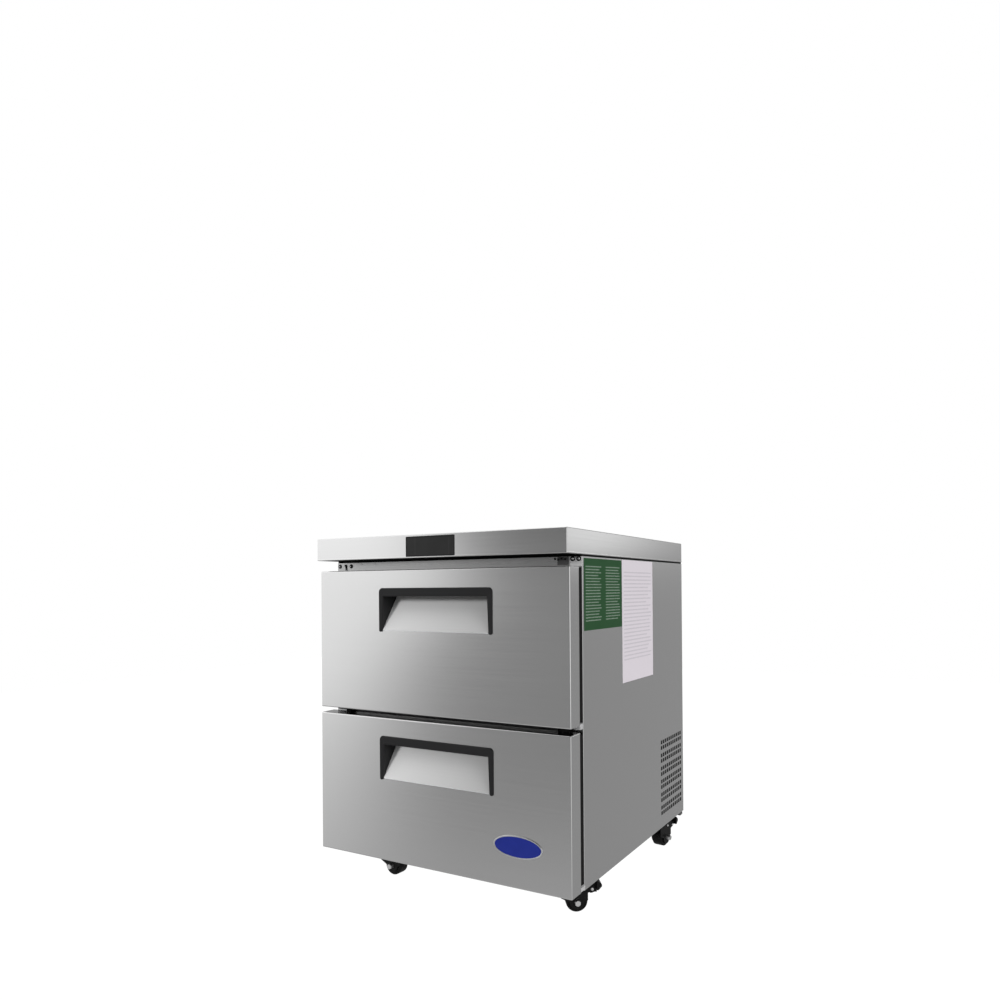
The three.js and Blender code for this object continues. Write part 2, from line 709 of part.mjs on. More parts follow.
// One drawer: front shell, inner panel, gasket, handle and pan rack, in its own frame
// whose origin is the middle of the front face's lower edge
function buildDrawer(prefix, drawerBase, gasketFoot) {
  const drawer = new THREE.Group();
  drawer.position.set(0, frontY + drawerSetback, drawerBase);
  model.add(drawer);

  const half = drawerWidth / 2;
  const handleTop = drawerHeight - handleDrop;
  const handleFoot = handleTop - handleHeight;
  const mouthTop = handleTop - handleBar;
  const halfMouth = handleWidth / 2 - handleLeg;
  const slopeFoot = handleFoot + pocketFoot;
  const roofZ = mouthTop + pocketRise;
  const pocketTop = roofZ + pocketRoof;
  const halfPocket = halfMouth + pocketWall;
  const fit = sheet + clearance;

  // The slope runs from the face at its foot to the pocket's back, level with the mouth's top
  const slopeLength = Math.hypot(pocketDepth, mouthTop - slopeFoot);
  const backwards = (mouthTop - slopeFoot) / slopeLength;
  const downwards = pocketDepth / slopeLength;
  const behind = plateThickness;
  const wallBack = pocketDepth + behind;

  const holeFoot = slopeFoot - (behind + clearance) / backwards;
  const skin = cut(
    across(half, 0, drawerThickness, 0, drawerHeight),
    across(half - sheet, sheet, drawerThickness + overrun, sheet, drawerHeight - sheet),
    across(halfPocket + clearance, -overrun, sheet + overrun, holeFoot - clearance, pocketTop + clearance),
  );
  add(drawer, `${prefix}_front_skin`, skin, finish.steel);

  const fieldFoot = gasketFoot + gasketWidth + fieldMargin;
  const fieldEdge = gasketInset + gasketWidth + fieldMargin;
  const fieldBack = drawerThickness + fieldProud;
  const behindFit = behind + clearance;
  const roomBack = wallBack + clearance;
  const roomTop = pocketTop + clearance;
  const pocketRoom = alongX(outline([
    [-overrun, holeFoot - clearance], [0, holeFoot - clearance],
    [pocketDepth + behindFit * backwards, mouthTop - behindFit * downwards],
    [roomBack, mouthTop], [roomBack, roomTop], [-overrun, roomTop],
  ]), -halfPocket - clearance, halfPocket + clearance);
  const inner = cut(
    join(
      across(half - fit, fit, drawerThickness, fit, drawerHeight - fit),
      across(half - fieldEdge, drawerThickness - overrun, fieldBack, fieldFoot, drawerHeight - fieldEdge),
    ),
    pocketRoom,
  );
  add(drawer, `${prefix}_front_inner`, inner, finish.liner);

  const ring = outline([
    [-half + gasketInset, gasketFoot], [half - gasketInset, gasketFoot],
    [half - gasketInset, drawerHeight - gasketInset], [-half + gasketInset, drawerHeight - gasketInset],
  ]);
  ring.holes.push(outline([
    [-half + gasketInset + gasketWidth, gasketFoot + gasketWidth],
    [-half + gasketInset + gasketWidth, drawerHeight - gasketInset - gasketWidth],
    [half - gasketInset - gasketWidth, drawerHeight - gasketInset - gasketWidth],
    [half - gasketInset - gasketWidth, gasketFoot + gasketWidth],
  ]));
  const gasketFront = drawerThickness + clearance;
  add(drawer, `${prefix}_gasket`, alongY(ring, gasketFront, gasketFront + gasketDepth), finish.gasket);

  // The black frame: face arch, side walls that follow the slope, roof and a thick pull bar
  const arch = alongY(archOutline(handleWidth / 2, halfMouth, handleTop, mouthTop, handleFoot),
    -handleProud - clearance, -clearance, 5);
  const wallShape = outline([
    [-clearance - handleProud / 2, slopeFoot], [0, slopeFoot], [pocketDepth, mouthTop], [wallBack, mouthTop],
    [wallBack, pocketTop], [-clearance - handleProud / 2, pocketTop],
  ]);
  const frame = join(
    arch,
    alongX(wallShape, halfMouth, halfPocket),
    alongX(wallShape, -halfPocket, -halfMouth),
    across(halfPocket, -clearance - handleProud / 2, wallBack, roofZ, pocketTop),
    across(halfPocket, -clearance - handleProud / 2, barDepth, mouthTop, pocketTop),
  );
  add(drawer, `${prefix}_handle_frame`, frame, finish.black);

  const plate = alongX(outline([
    [0, slopeFoot], [0, slopeFoot - behind / backwards],
    [pocketDepth + behind * backwards, mouthTop - behind * downwards], [wallBack, mouthTop],
    [wallBack, roofZ - clearance], [pocketDepth, roofZ - clearance], [pocketDepth, mouthTop],
  ]), -halfMouth + clearance, halfMouth - clearance);
  add(drawer, `${prefix}_handle_plate`, plate, finish.steel);

  // The rack: a four-sided skirt with a ledge that carries the pans, and a rail on each side
  const rackHalf = halfLiner - clearance - slideDepth - 2 * slideWall;
  const rackY = fieldBack + clearance;
  const rackDepth = stepY - rackToStep - frontY - drawerSetback - rackY;
  const halfPanHole = rackHalf - panLedgeWidth;
  const panHoleDepth = rackDepth - panHoleFromFront - panBar - smallHoleDepth - panHoleToRear;
  const ledge = outline([[-rackHalf, 0], [rackHalf, 0], [rackHalf, rackDepth], [-rackHalf, rackDepth]]);
  const smallHoleFrom = panHoleFromFront + panHoleDepth + panBar;
  const holes = [[panHoleFromFront, panHoleDepth], [smallHoleFrom, smallHoleDepth]];
  for (const [from, depth] of holes) {
    ledge.holes.push(outline([
      [-halfPanHole, from], [-halfPanHole, from + depth], [halfPanHole, from + depth], [halfPanHole, from],
    ]));
  }
  const ledgeGeometry = new THREE.ExtrudeGeometry(ledge, { depth: rackSheet, bevelEnabled: false, steps: 1 });
  ledgeGeometry.translate(0, rackY, rackTop - rackSheet);
  const skirt = cut(
    across(rackHalf, rackY, rackY + rackDepth, rackTop - rackHeight, rackTop),
    across(rackHalf - rackSheet, rackY + rackSheet, rackY + rackDepth - rackSheet,
      rackTop - rackHeight - overrun, rackTop + overrun),
  );
  const railStep = 2 * (slideWall + clearance);
  const railBase = slideFoot + railStep;
  const railTop = slideFoot + slideHeight - railStep;
  const railOut = halfLiner - clearance - railStep;
  const railFrom = frameY + slideFromFrame - frontY - drawerSetback;
  const rails = [-1, 1].map((side) => span(Math.min(side * railOut, side * (rackHalf - rackSheet)),
    Math.max(side * railOut, side * (rackHalf - rackSheet)), railFrom, rackY + rackDepth, railBase, railTop));
  add(drawer, `${prefix}_pan_rack`, join(ledgeGeometry, skirt, ...rails), finish.liner);
}

// Casters: each stands in its own frame, with the swivel at the origin and the wheel along +X
function cheekOutline() {
  const shape = new THREE.Shape();
  shape.moveTo(-cheekFront, axleHeight + cheekRise);
  shape.lineTo(casterTrail - axleBoss, axleHeight);
  shape.absarc(casterTrail, axleHeight, axleBoss, Math.PI, 0, false);
  shape.lineTo(casterTrail + cheekBehindAxle, cheekFoot);
  shape.lineTo(casterTrail + cheekBehindAxle, brakeUp - brakeEye);
  shape.lineTo(brakeAcross + pinRadius * 2, brakeUp - pinRadius);
  shape.lineTo(brakeAcross + pinRadius * 2, brakeUp + pinRadius);
  shape.lineTo(forkRear + forkLip, forkTop);
  shape.lineTo(-cheekFront, forkTop);
  shape.closePath();
  return shape;
}

function brakeOutline() {
  const pedalX = brakeAcross + pedalStart + pedalCorner / 2;
  const shape = new THREE.Shape();
  shape.moveTo(brakeAcross - brakeEye, brakeUp);
  shape.lineTo(brakeAcross - brakeShoeWidth, brakeUp - brakeShoeDrop);
  shape.lineTo(brakeAcross, brakeUp - brakeShoeDrop);
  shape.lineTo(brakeAcross + brakeShoeWidth, brakeUp - brakeEye);
  shape.lineTo(pedalX, brakeUp - brakeEye);
  shape.lineTo(pedalX, brakeUp + brakeRise);
  shape.lineTo(brakeAcross, brakeUp + brakeEye);
  shape.closePath();
  const eye = new THREE.Path();
  eye.absarc(brakeAcross, brakeUp, pinRadius + clearance, 0, Math.PI * 2, true);
  shape.holes.push(eye);
  return shape;
}

function pedalOutline() {
  const startX = brakeAcross + pedalStart;
  const toeX = startX + pedalLength;
  const foot = brakeUp - pedalHeel;
  const top = brakeUp + brakeRise;
  return outline([
    [startX, foot], [startX + pedalCorner, foot], [toeX, brakeUp + brakeEye],
    [toeX, brakeUp + brakeEye + pedalCorner], [startX + pedalCorner, top], [startX, top],
  ]);
}

function buildCaster(name, x, y, turn) {
  const caster = new THREE.Group();
  caster.position.set(x, y, 0);
  caster.rotation.z = turn;
  model.add(caster);

  const plateTop = casterHeight - clearance;
  const cupBase = forkTop + clearance;
  const pinFoot = forkTop - forkSheet - clearance;
  const plate = join(
    span(-plateLength / 2, plateLength / 2, -plateWidth / 2, plateWidth / 2, plateTop - plateSheet, plateTop),
    bar(cupRadius, cupBase, plateTop - plateSheet / 2, 'z', 18),
    bar(kingpinRadius, pinFoot - kingpinHeadDepth, plateTop - plateSheet / 2, 'z', 12),
    bar(kingpinHeadRadius, pinFoot - kingpinHeadDepth, pinFoot, 'z', 12),
  );
  add(model, `${name}_caster_plate`, plate, finish.forkBlack, x, y, 0);

  const cheekOut = cheekIn + forkSheet;
  const cheek = cheekOutline();
  const axle = bar(axleRadius, -cheekOut, cheekOut, 'y', 12);
  const heads = [
    bar(boltRadius, -cheekOut - boltHeight, -cheekOut + forkSheet / 2, 'y', 6),
    bar(boltRadius, cheekOut - forkSheet / 2, cheekOut + boltHeight, 'y', 6),
  ];
  for (const piece of [axle, ...heads]) piece.translate(casterTrail, 0, axleHeight);
  const brakePin = bar(pinRadius, -cheekOut, cheekOut, 'y', 8);
  brakePin.translate(brakeAcross, 0, brakeUp);
  const fork = cut(
    join(
      alongY(cheek, -cheekOut, -cheekIn, 6),
      alongY(cheek, cheekIn, cheekOut, 6),
      span(-forkFront, forkRear, -cheekOut, cheekOut, forkTop - forkSheet, forkTop),
      axle, ...heads, brakePin,
    ),
    bar(kingpinRadius + clearance, forkTop - forkSheet - overrun, forkTop + overrun, 'z', 12),
  );
  add(caster, `${name}_caster_fork`, fork, finish.forkBlack);

  const bore = axleRadius + clearance;
  const halfTread = wheelWidth / 2;
  const rimRadius = wheelRadius - tyreDepth;
  const profile = [
    [bore, -hubHalfWidth], [hubRadius, -hubHalfWidth], [hubRadius, -webHalfWidth], [rimRadius, -webHalfWidth],
    [rimRadius, -halfTread], [wheelRadius - treadRound, -halfTread], [wheelRadius, -halfTread + treadRound],
    [wheelRadius, halfTread - treadRound], [wheelRadius - treadRound, halfTread], [rimRadius, halfTread],
    [rimRadius, webHalfWidth], [hubRadius, webHalfWidth], [hubRadius, hubHalfWidth], [bore, hubHalfWidth],
    [bore, -hubHalfWidth],
  ].map(([r, h]) => new THREE.Vector2(r, h));
  const wheel = new THREE.LatheGeometry(profile, wheelSegments, halfSegment);
  add(caster, `${name}_caster_wheel`, wheel, finish.rubber, casterTrail, 0, axleHeight);

  const brake = join(
    alongY(brakeOutline(), -brakeWidth / 2, brakeWidth / 2, 4),
    alongY(pedalOutline(), -pedalWidth / 2, pedalWidth / 2, 4),
  );
  add(caster, `${name}_brake_lever`, brake, finish.black);
}

buildWorktop();
buildDisplay();
buildSidePanel('left_side_panel', -1);
buildSidePanel('right_side_panel', 1);
buildBack();
buildBase();
buildRails();
buildInsulation();
buildEvaporator();
buildCondensingUnit();

buildDrawer('upper', upperDrawerBase, upperGasketFoot);
buildDrawer('lower', lowerDrawerBase, lowerGasketFoot);
addSlides('upper', upperDrawerBase);
addSlides('lower', lowerDrawerBase);

const frontCasterX = halfCabinet - frontCasterInset;
const frontCasterY = frameY + frontCasterBehind;
const rearCasterX = halfCabinet - rearCasterInset;
const rearCasterY = rearY - rearCasterAhead;
buildCaster('front_right', frontCasterX, frontCasterY, frontRightTurn);
buildCaster('front_left', -frontCasterX, frontCasterY, frontLeftTurn);
buildCaster('rear_right', rearCasterX, rearCasterY, rearRightTurn);
buildCaster('rear_left', -rearCasterX, rearCasterY, rearLeftTurn);

export default model;
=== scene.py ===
import math

import bmesh
import bpy
import numpy as np
from mathutils import Matrix, Vector
from mathutils.geometry import tessellate_polygon


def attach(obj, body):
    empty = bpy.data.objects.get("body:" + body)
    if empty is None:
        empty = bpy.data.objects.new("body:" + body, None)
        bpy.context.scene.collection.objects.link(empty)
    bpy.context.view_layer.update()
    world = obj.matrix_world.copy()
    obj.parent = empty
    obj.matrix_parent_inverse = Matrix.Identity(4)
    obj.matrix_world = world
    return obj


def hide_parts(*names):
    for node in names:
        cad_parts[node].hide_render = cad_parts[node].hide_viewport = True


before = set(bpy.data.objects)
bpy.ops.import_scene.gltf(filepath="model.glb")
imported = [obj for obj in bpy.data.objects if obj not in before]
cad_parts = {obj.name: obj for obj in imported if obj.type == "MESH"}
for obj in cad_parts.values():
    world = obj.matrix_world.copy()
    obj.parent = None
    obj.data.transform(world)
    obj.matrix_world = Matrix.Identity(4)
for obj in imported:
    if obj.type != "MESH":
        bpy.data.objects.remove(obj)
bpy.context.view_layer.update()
mm = 0.001
quarterTurn = math.pi / 2
fullTurn = 2 * math.pi
bendSteps = 5
roomShare = 0.45
seamReach = 2e-6
sharpDegrees = 34

camera = {
    "place": (1.04807, -1.81682, 0.73886),
    "yaw": 0.52643,
    "pitch": 0.00466,
    "roll": -0.00708,
    "lens": 27.778,
    "sensor": 36,
    "shift": (-0.0105, 0.0849),
    "farthest": 60,
}


def addObject(name, data):
    made = bpy.data.objects.new(name, data)
    bpy.context.scene.collection.objects.link(made)
    return made


def placeCamera():
    # yaw turns the view from +Y towards -X, pitch lifts it and roll turns it about itself
    yaw, pitch, roll = camera["yaw"], camera["pitch"], camera["roll"]
    ahead = Vector((-math.sin(yaw) * math.cos(pitch), math.cos(yaw) * math.cos(pitch), math.sin(pitch)))
    level = Vector((math.cos(yaw), math.sin(yaw), 0))
    above = level.cross(ahead)
    right = level * math.cos(roll) + above * math.sin(roll)
    up = above * math.cos(roll) - level * math.sin(roll)
    data = bpy.data.cameras.new("camera")
    data.sensor_width = camera["sensor"]
    data.lens = camera["lens"]
    data.shift_x, data.shift_y = camera["shift"]
    data.clip_end = camera["farthest"]
    made = addObject("camera", data)
    turned = Matrix((right, up, -ahead)).transposed().to_4x4()
    made.matrix_world = Matrix.Translation(camera["place"]) @ turned
    bpy.context.scene.camera = made


placeCamera()
print("camera placed")


class Value:
    # a number that varies over a surface: sums on it add Math nodes to its material
    def __init__(self, finish, socket):
        self.finish = finish
        self.socket = socket

    def maths(self, operation, *numbers):
        return self.finish.node("ShaderNodeMath", {"operation": operation}, dict(enumerate(numbers)))

    def __add__(self, other):
        return self.maths("ADD", self, other)

    __radd__ = __add__

    def __sub__(self, other):
        return self.maths("SUBTRACT", self, other)

    def __rsub__(self, other):
        return self.maths("SUBTRACT", other, self)

    def __mul__(self, other):
        return self.maths("MULTIPLY", self, other)

    __rmul__ = __mul__

    def __truediv__(self, other):
        return self.maths("DIVIDE", self, other)

    def __gt__(self, other):
        return self.maths("GREATER_THAN", self, other)

    def __lt__(self, other):
        return self.maths("LESS_THAN", self, other)

    def __abs__(self):
        return self.maths("ABSOLUTE", self)

    def smallest(self, other):
        return self.maths("MINIMUM", self, other)

    def largest(self, other):
        return self.maths("MAXIMUM", self, other)

    def fraction(self):
        return self.maths("FRACT", self)

    def floor(self):
        return self.maths("FLOOR", self)

    def between(self, low, high):
        # 1 where the value lies between low and high
        return (self > low) * (self < high)

    def rise(self, low, high):
        # a smooth step from 0 at low to 1 at high
        sockets = {0: self, 1: low, 2: high}
        return self.finish.node("ShaderNodeMapRange", {"interpolation_type": "SMOOTHSTEP"}, sockets)


class Finish:
    # a material or the world, whose nodes all come from one method
    def __init__(self, owner):
        owner.use_nodes = True
        self.owner = owner
        self.tree = owner.node_tree
        self.tree.nodes.clear()

    def node(self, kind, settings=None, sockets=None, output=0):
        made = self.tree.nodes.new(kind)
        for key, value in (settings or {}).items():
            setattr(made, key, value)
        for key, value in (sockets or {}).items():
            if isinstance(value, Value):
                self.tree.links.new(value.socket, made.inputs[key])
            else:
                made.inputs[key].default_value = value
        return Value(self, made.outputs[output]) if len(made.outputs) else None

    def split(self, vector):
        return [self.node("ShaderNodeSeparateXYZ", None, {0: vector}, axis) for axis in range(3)]

    def place(self):
        # the point's place on the object, in metres, as three values
        return self.split(self.node("ShaderNodeTexCoord", output="Object"))

    def facing(self):
        # how far the surface faces along X, Y and Z
        return self.split(self.node("ShaderNodeNewGeometry", output="Normal"))

    def ray(self, kind):
        return self.node("ShaderNodeLightPath", output="Is %s Ray" % kind)

    def vector(self, x, y, z):
        return self.node("ShaderNodeCombineXYZ", None, {0: x, 1: y, 2: z})

    def noise(self, x, y, z, detail, roughness=0.5):
        sockets = {"Vector": self.vector(x, y, z), "Scale": 1.0, "Detail": detail, "Roughness": roughness}
        return self.node("ShaderNodeTexNoise", None, sockets)

    def cloud(self, often, detail):
        # a noise that repeats this often in a metre on every axis
        x, y, z = self.place()
        return self.noise(x * often, y * often, z * often, detail)

    def blend(self, amount, first, second):
        # a Mix node's sockets for colours are 6, 7 and the output 2
        return self.node("ShaderNodeMix", {"data_type": "RGBA"}, {0: amount, 6: first, 7: second}, 2)

    def greys(self, amount, level, spread):
        return self.blend(amount, grey(level * (1 - spread)), grey(level * (1 + spread)))

    def bump(self, height, strength, distance):
        return self.node("ShaderNodeBump", None,
                         {"Strength": strength, "Distance": distance, "Height": height})

    def surface(self, **sockets):
        named = {key.replace("_", " "): value for key, value in sockets.items()}
        shader = self.node("ShaderNodeBsdfPrincipled", None, named)
        self.node("ShaderNodeOutputMaterial", None, {0: shader})
        return self.owner


def startFinish(name):
    return Finish(bpy.data.materials.new(name))


def grey(level):
    return (level, level, level, 1)


steelFinish = {
    "worktopSteel": {"level": 0.6, "roughness": 0.17, "streaks": 0.03, "grain": 0.05},
    "drawerSteel": {"level": 0.6, "roughness": 0.18, "streaks": 0.03, "grain": 0.06},
    "panelSteel": {"level": 0.58, "roughness": 0.24, "streaks": 0.025, "grain": 0.02},
    # shadedRailSteel is the steel made darker: painted shade of the worktop's overhang on the top rail
    "shadedRailSteel": {"level": 0.39, "roughness": 0.28, "streaks": 0.1, "grain": 0.08},
    "darkSteel": {"level": 0.2, "roughness": 0.3, "streaks": 0.7, "grain": 0.1},
    # plateSteel is painted darker towards +X: painted shade for the light falling off across the handle plate
    "plateSteel": {"level": 0.42, "roughness": 0.4, "streaks": 0.25, "grain": 0.1, "metallic": 0.06,
                   "spread": 0.25, "paintedShade": 3.1},
    "rackSteel": {"level": 0.62, "roughness": 0.3, "streaks": 0.08, "grain": 0.08},
}


def brushedSteel(name, level, roughness, streaks, grain, metallic=1.0, spread=1.0, paintedShade=0.0):
    # fine lines that run level on upright faces and along X on level ones; paintedShade darkens the colour
    # towards +X, painted shade for the light falling off across the handle plate
    steel = startFinish(name)
    x, y, z = steel.place()
    sideways = abs(steel.facing()[0]) > 0.5
    along = x + y * sideways
    across = z + y * (1 - sideways)
    fine = steel.noise(along * 14, across * 2600, 0, 3)
    coarse = steel.noise(along * 2.2, across * 170, 3, 4, 0.6)
    cloud = steel.noise(along * 1.3, across * 5, 7, 2)
    tone = fine * 0.35 + coarse * 0.5 + cloud * 0.15
    # painted shade: the colour grows darker towards +X, standing in for the light that falls off across the
    # plate
    if paintedShade:
        tone = (tone - 0.5) * spread + 0.5 - x * paintedShade
    rough = roughness + (fine - 0.5) * grain + (coarse - 0.5) * grain
    return steel.surface(Base_Color=steel.greys(tone, level, streaks), Roughness=rough, Metallic=metallic,
                         Normal=steel.bump(fine * 0.6 + coarse * 0.4, grain, 0.0002))


# level, roughness, spangle and metallic
sheetFinish = {"galvanised": (0.5, 0.42, 0.1, 0.7), "linerAluminium": (0.7, 0.4, 0.04, 0.45),
               "finAluminium": (0.74, 0.34, 0.05, 0.6), "boltZinc": (0.62, 0.38, 0.1, 1.0)}


def sheetMetal(name, level, roughness, spangle, metallic):
    # zinc or aluminium sheet with a dull crystal pattern
    metal = startFinish(name)
    sockets = {"Vector": metal.vector(*metal.place()), "Scale": 55.0}
    grains = metal.node("ShaderNodeTexVoronoi", None, sockets, "Color")
    wear = metal.cloud(9, 4)
    tone = metal.split(grains)[0] * 0.6 + wear * 0.4
    return metal.surface(Base_Color=metal.greys(tone, level, spangle), Metallic=metallic,
                         Roughness=roughness + (wear - 0.5) * 0.12, Normal=metal.bump(wear, 0.05, 0.0003))


# colour, roughness, how fine the moulded texture is, its relief, and shine
mouldedFinish = {
    "linerPlastic": ((0.74, 0.75, 0.76), 0.45, 900),
    "coreBoard": ((0.004, 0.004, 0.004), 0.8, 400, 0.08, 0.1),
    "paleCover": ((0.4, 0.4, 0.4), 0.5, 700),
    "sleevePlastic": ((0.42, 0.42, 0.425), 0.45, 700),
    "blackPlastic": ((0.007, 0.007, 0.0075), 0.42, 1500, 0.15, 0.22),
    "leverPlastic": ((0.004, 0.004, 0.004), 0.4, 900, 0.12, 0.15),
    # bracketShadePaint is near black: partly a bracket's paint, partly painted shade at the top rail's right
    # end
    "bracketShadePaint": ((0.055, 0.055, 0.055), 0.45, 500),
    "screwBlack": ((0.006, 0.006, 0.006), 0.4, 600, 0.08, 0.15),
    "gasketRubber": ((0.004, 0.004, 0.004), 0.7, 700, 0.08, 0.15),
    "blackPaint": ((0.004, 0.004, 0.004), 0.4, 500, 0.08, 0.12),
    "wheelRubber": ((0.004, 0.004, 0.004), 0.42, 900, 0.12, 0.12),
}


def moulded(name, colour, roughness, texture, relief=0.08, shine=0.5):
    # plastic, rubber or paint with a fine moulded texture and a little wear
    plastic = startFinish(name)
    grain, wear = plastic.cloud(texture, 2), plastic.cloud(14, 4)
    low = tuple(part * 0.82 for part in colour) + (1,)
    high = tuple(min(part * 1.22, 1) for part in colour) + (1,)
    return plastic.surface(Base_Color=plastic.blend(wear, low, high), Specular_IOR_Level=shine,
                           Roughness=roughness + (wear - 0.5) * 0.16 + (grain - 0.5) * 0.06,
                           Normal=plastic.bump(grain, relief, 0.0002))


def foamFinish():
    foam = startFinish("foam")
    cells = foam.node("ShaderNodeTexVoronoi", None, {"Vector": foam.vector(*foam.place()), "Scale": 260.0})
    return foam.surface(Base_Color=foam.blend(foam.cloud(6, 4), (0.72, 0.62, 0.4, 1), (0.86, 0.78, 0.56, 1)),
                        Roughness=0.9, Normal=foam.bump(cells, 0.4, 0.001))


def displayFinish():
    # smoked window: a darker glass with two faint upright guide lines
    glass = startFinish("displayGlass")
    x = glass.place()[0]
    left, right = [abs(x - line) < 0.0008 for line in (-0.042, 0.053)]
    cloud = glass.cloud(30, 3)
    tone = ((left + right).smallest(1.0) * 0.6 + cloud * 0.4).smallest(1.0)
    return glass.surface(Base_Color=glass.blend(tone, grey(0.007), grey(0.024)),
                         Roughness=0.3 + cloud * 0.06, Specular_IOR_Level=0.25)


def enamelFinish():
    enamel = startFinish("slateEnamel")
    cloud = enamel.cloud(60, 3)
    return enamel.surface(Base_Color=enamel.blend(cloud, (0.006, 0.013, 0.135, 1), (0.01, 0.019, 0.175, 1)),
                          Roughness=0.28 + cloud * 0.06, Specular_IOR_Level=0.15, Coat_Weight=0.08,
                          Coat_Roughness=0.12)


# the rules on each card: columns between places on Y, and rows from first down to last, in metres
cardFinish = {
    "greenCard": {"paper": (0.01, 0.058, 0.016, 1), "line": (0.42, 0.5, 0.43, 1),
                  "columns": [(-0.29, -0.205), (-0.18, -0.096)], "first": 0.79, "last": 0.664,
                  "pitch": 0.0066, "strength": 0.62},
    "whiteCard": {"paper": (0.69, 0.645, 0.69, 1), "line": (0.34, 0.32, 0.36, 1),
                  "columns": [(-0.07, 0.12)], "first": 0.78, "last": 0.56,
                  "pitch": 0.0092, "strength": 0.55},
}


def ruledCard(name, paper, line, columns, first, last, pitch, strength):
    # level pale or dark rules of uneven length in columns, on plain card
    card = startFinish(name)
    y, z = card.place()[1:]
    row = (z - last) / pitch
    inside = z.between(last, first)
    rule = row.fraction().between(0.3, 0.66)
    marks = None
    for number, (start, end) in enumerate(columns):
        length = card.node("ShaderNodeTexWhiteNoise", {"noise_dimensions": "1D"},
                           {"W": row.floor() + number * 37.0})
        stop = end - (end - start) * 0.22 * (length * length * length)
        column = (y > start) * (y < stop)
        marks = column if marks is None else marks + column
    grain = card.noise(y * 900, z * 420, 0, 2)
    tone = (inside * rule * marks * grain.rise(0.3, 0.62) * strength).smallest(1.0)
    cloud = card.noise(y * 12, z * 12, 2, 3)
    return card.surface(Base_Color=card.blend(tone + cloud * 0.03, paper, line), Roughness=0.5 + cloud * 0.08,
                        Specular_IOR_Level=0.12, Normal=card.bump(cloud, 0.03, 0.0003))


finishes = {"foam": foamFinish(), "displayGlass": displayFinish(), "slateEnamel": enamelFinish()}
finishes.update({name: brushedSteel(name, **look) for name, look in steelFinish.items()})
finishes.update({name: sheetMetal(name, *look) for name, look in sheetFinish.items()})
finishes.update({name: moulded(name, *look) for name, look in mouldedFinish.items()})
finishes.update({name: ruledCard(name, **look) for name, look in cardFinish.items()})
print("finishes made")


def arc(start, end, steps):
    return np.linspace(start, end, steps + 1)


def quarterBend(radius, steps):
    # a bend from a face to its side: how far each point is drawn in, and how far it lies behind the face
    angle = arc(0, quarterTurn, steps)
    return radius * (1 - np.sin(angle)), radius * (1 - np.cos(angle))


def gridFaces(rows, columns, wrapRows, wrapColumns):
    # each face joins a point with the next one along and the next one across
    along = np.arange(rows if wrapRows else rows - 1)[:, None]
    across = np.arange(columns if wrapColumns else columns - 1)[None, :]
    nextAlong, nextAcross = (along + 1) % rows, (across + 1) % columns
    corners = [along * columns + across, nextAlong * columns + across,
               nextAlong * columns + nextAcross, along * columns + nextAcross]
    return np.stack(corners, -1).reshape(-1, 4)


def ringSurface(rings, wrapRows=False, caps=True):
    # rings is an array of rows, points and x y z; flat caps close its two ends
    rows, columns = rings.shape[:2]
    faces = [gridFaces(rows, columns, wrapRows, True)]
    if caps and not wrapRows:
        faces.append(np.arange(columns)[None])
        faces.append((rows - 1) * columns + np.arange(columns)[None])
    return rings.reshape(-1, 3), faces


def turnedSurface(profile, steps):
    # a closed profile of radius and height carried once round an axis along Y
    angle = arc(0, fullTurn, steps)[:-1, None]
    radius, height = profile.T[:, None]
    rings = np.stack([radius * np.cos(angle), height + 0 * angle, radius * np.sin(angle)], -1)
    return ringSurface(rings, wrapRows=True)


def roundedRectangle(halfX, halfY, radius, steps=5):
    # four quarter circles at the corners, anticlockwise from +X
    angle = (np.arange(4)[:, None] * quarterTurn + arc(0, quarterTurn, steps)).ravel()
    signX = np.repeat([1, -1, -1, 1], steps + 1)
    signY = np.repeat([1, 1, -1, -1], steps + 1)
    x = signX * (halfX - radius) + radius * np.cos(angle)
    y = signY * (halfY - radius) + radius * np.sin(angle)
    return np.stack([x, y], -1)


def uprightRing(halfX, halfZ, corner, y, z):
    # a rounded rectangle that stands at y, with its middle at the height z
    flat = roundedRectangle(halfX, halfZ, corner)
    return np.column_stack([flat[:, 0], np.full(len(flat), y), flat[:, 1] + z])


def softProfile(points, radius, steps=4):
    # rounds each corner of a closed outline by a curve that starts radius before it and ends radius after it
    points = np.asarray(points, float)
    before, after = np.roll(points, 1, 0) - points, np.roll(points, -1, 0) - points
    lengthBefore, lengthAfter = np.linalg.norm(before, axis=1), np.linalg.norm(after, axis=1)
    reach = np.minimum(radius, np.minimum(lengthBefore, lengthAfter) * roomShare)[:, None]
    start = points + before / lengthBefore[:, None] * reach
    end = points + after / lengthAfter[:, None] * reach
    t = arc(0, 1, steps)[None, :, None]
    curve = (1 - t) ** 2 * start[:, None] + 2 * t * (1 - t) * points[:, None] + t ** 2 * end[:, None]
    return curve.reshape(-1, 2)


def softBox(front, back, foot, top, radius):
    return softProfile([[front, foot], [back, foot], [back, top], [front, top]], radius)


def prism(outline, axis, start, end, edge=0.0, steps=3):
    # a closed outline carried along X or Y, drawn in by edge at its two ends along quarter circles
    middle = outline.mean(0)
    reach = np.linalg.norm(outline - middle, axis=1)[:, None]
    pull, depth = quarterBend(edge, steps if edge else 0)
    offsets = np.concatenate([start + depth, end - depth[::-1]])
    pulls = np.concatenate([pull, pull[::-1]])
    flat = middle + (outline - middle)[None] * (1 - pulls[:, None, None] / reach[None])
    level = np.broadcast_to(offsets[:, None], flat.shape[:2])
    across, up = flat[..., 0], flat[..., 1]
    return ringSurface(np.stack([level, across, up] if axis == "x" else [across, level, up], -1))


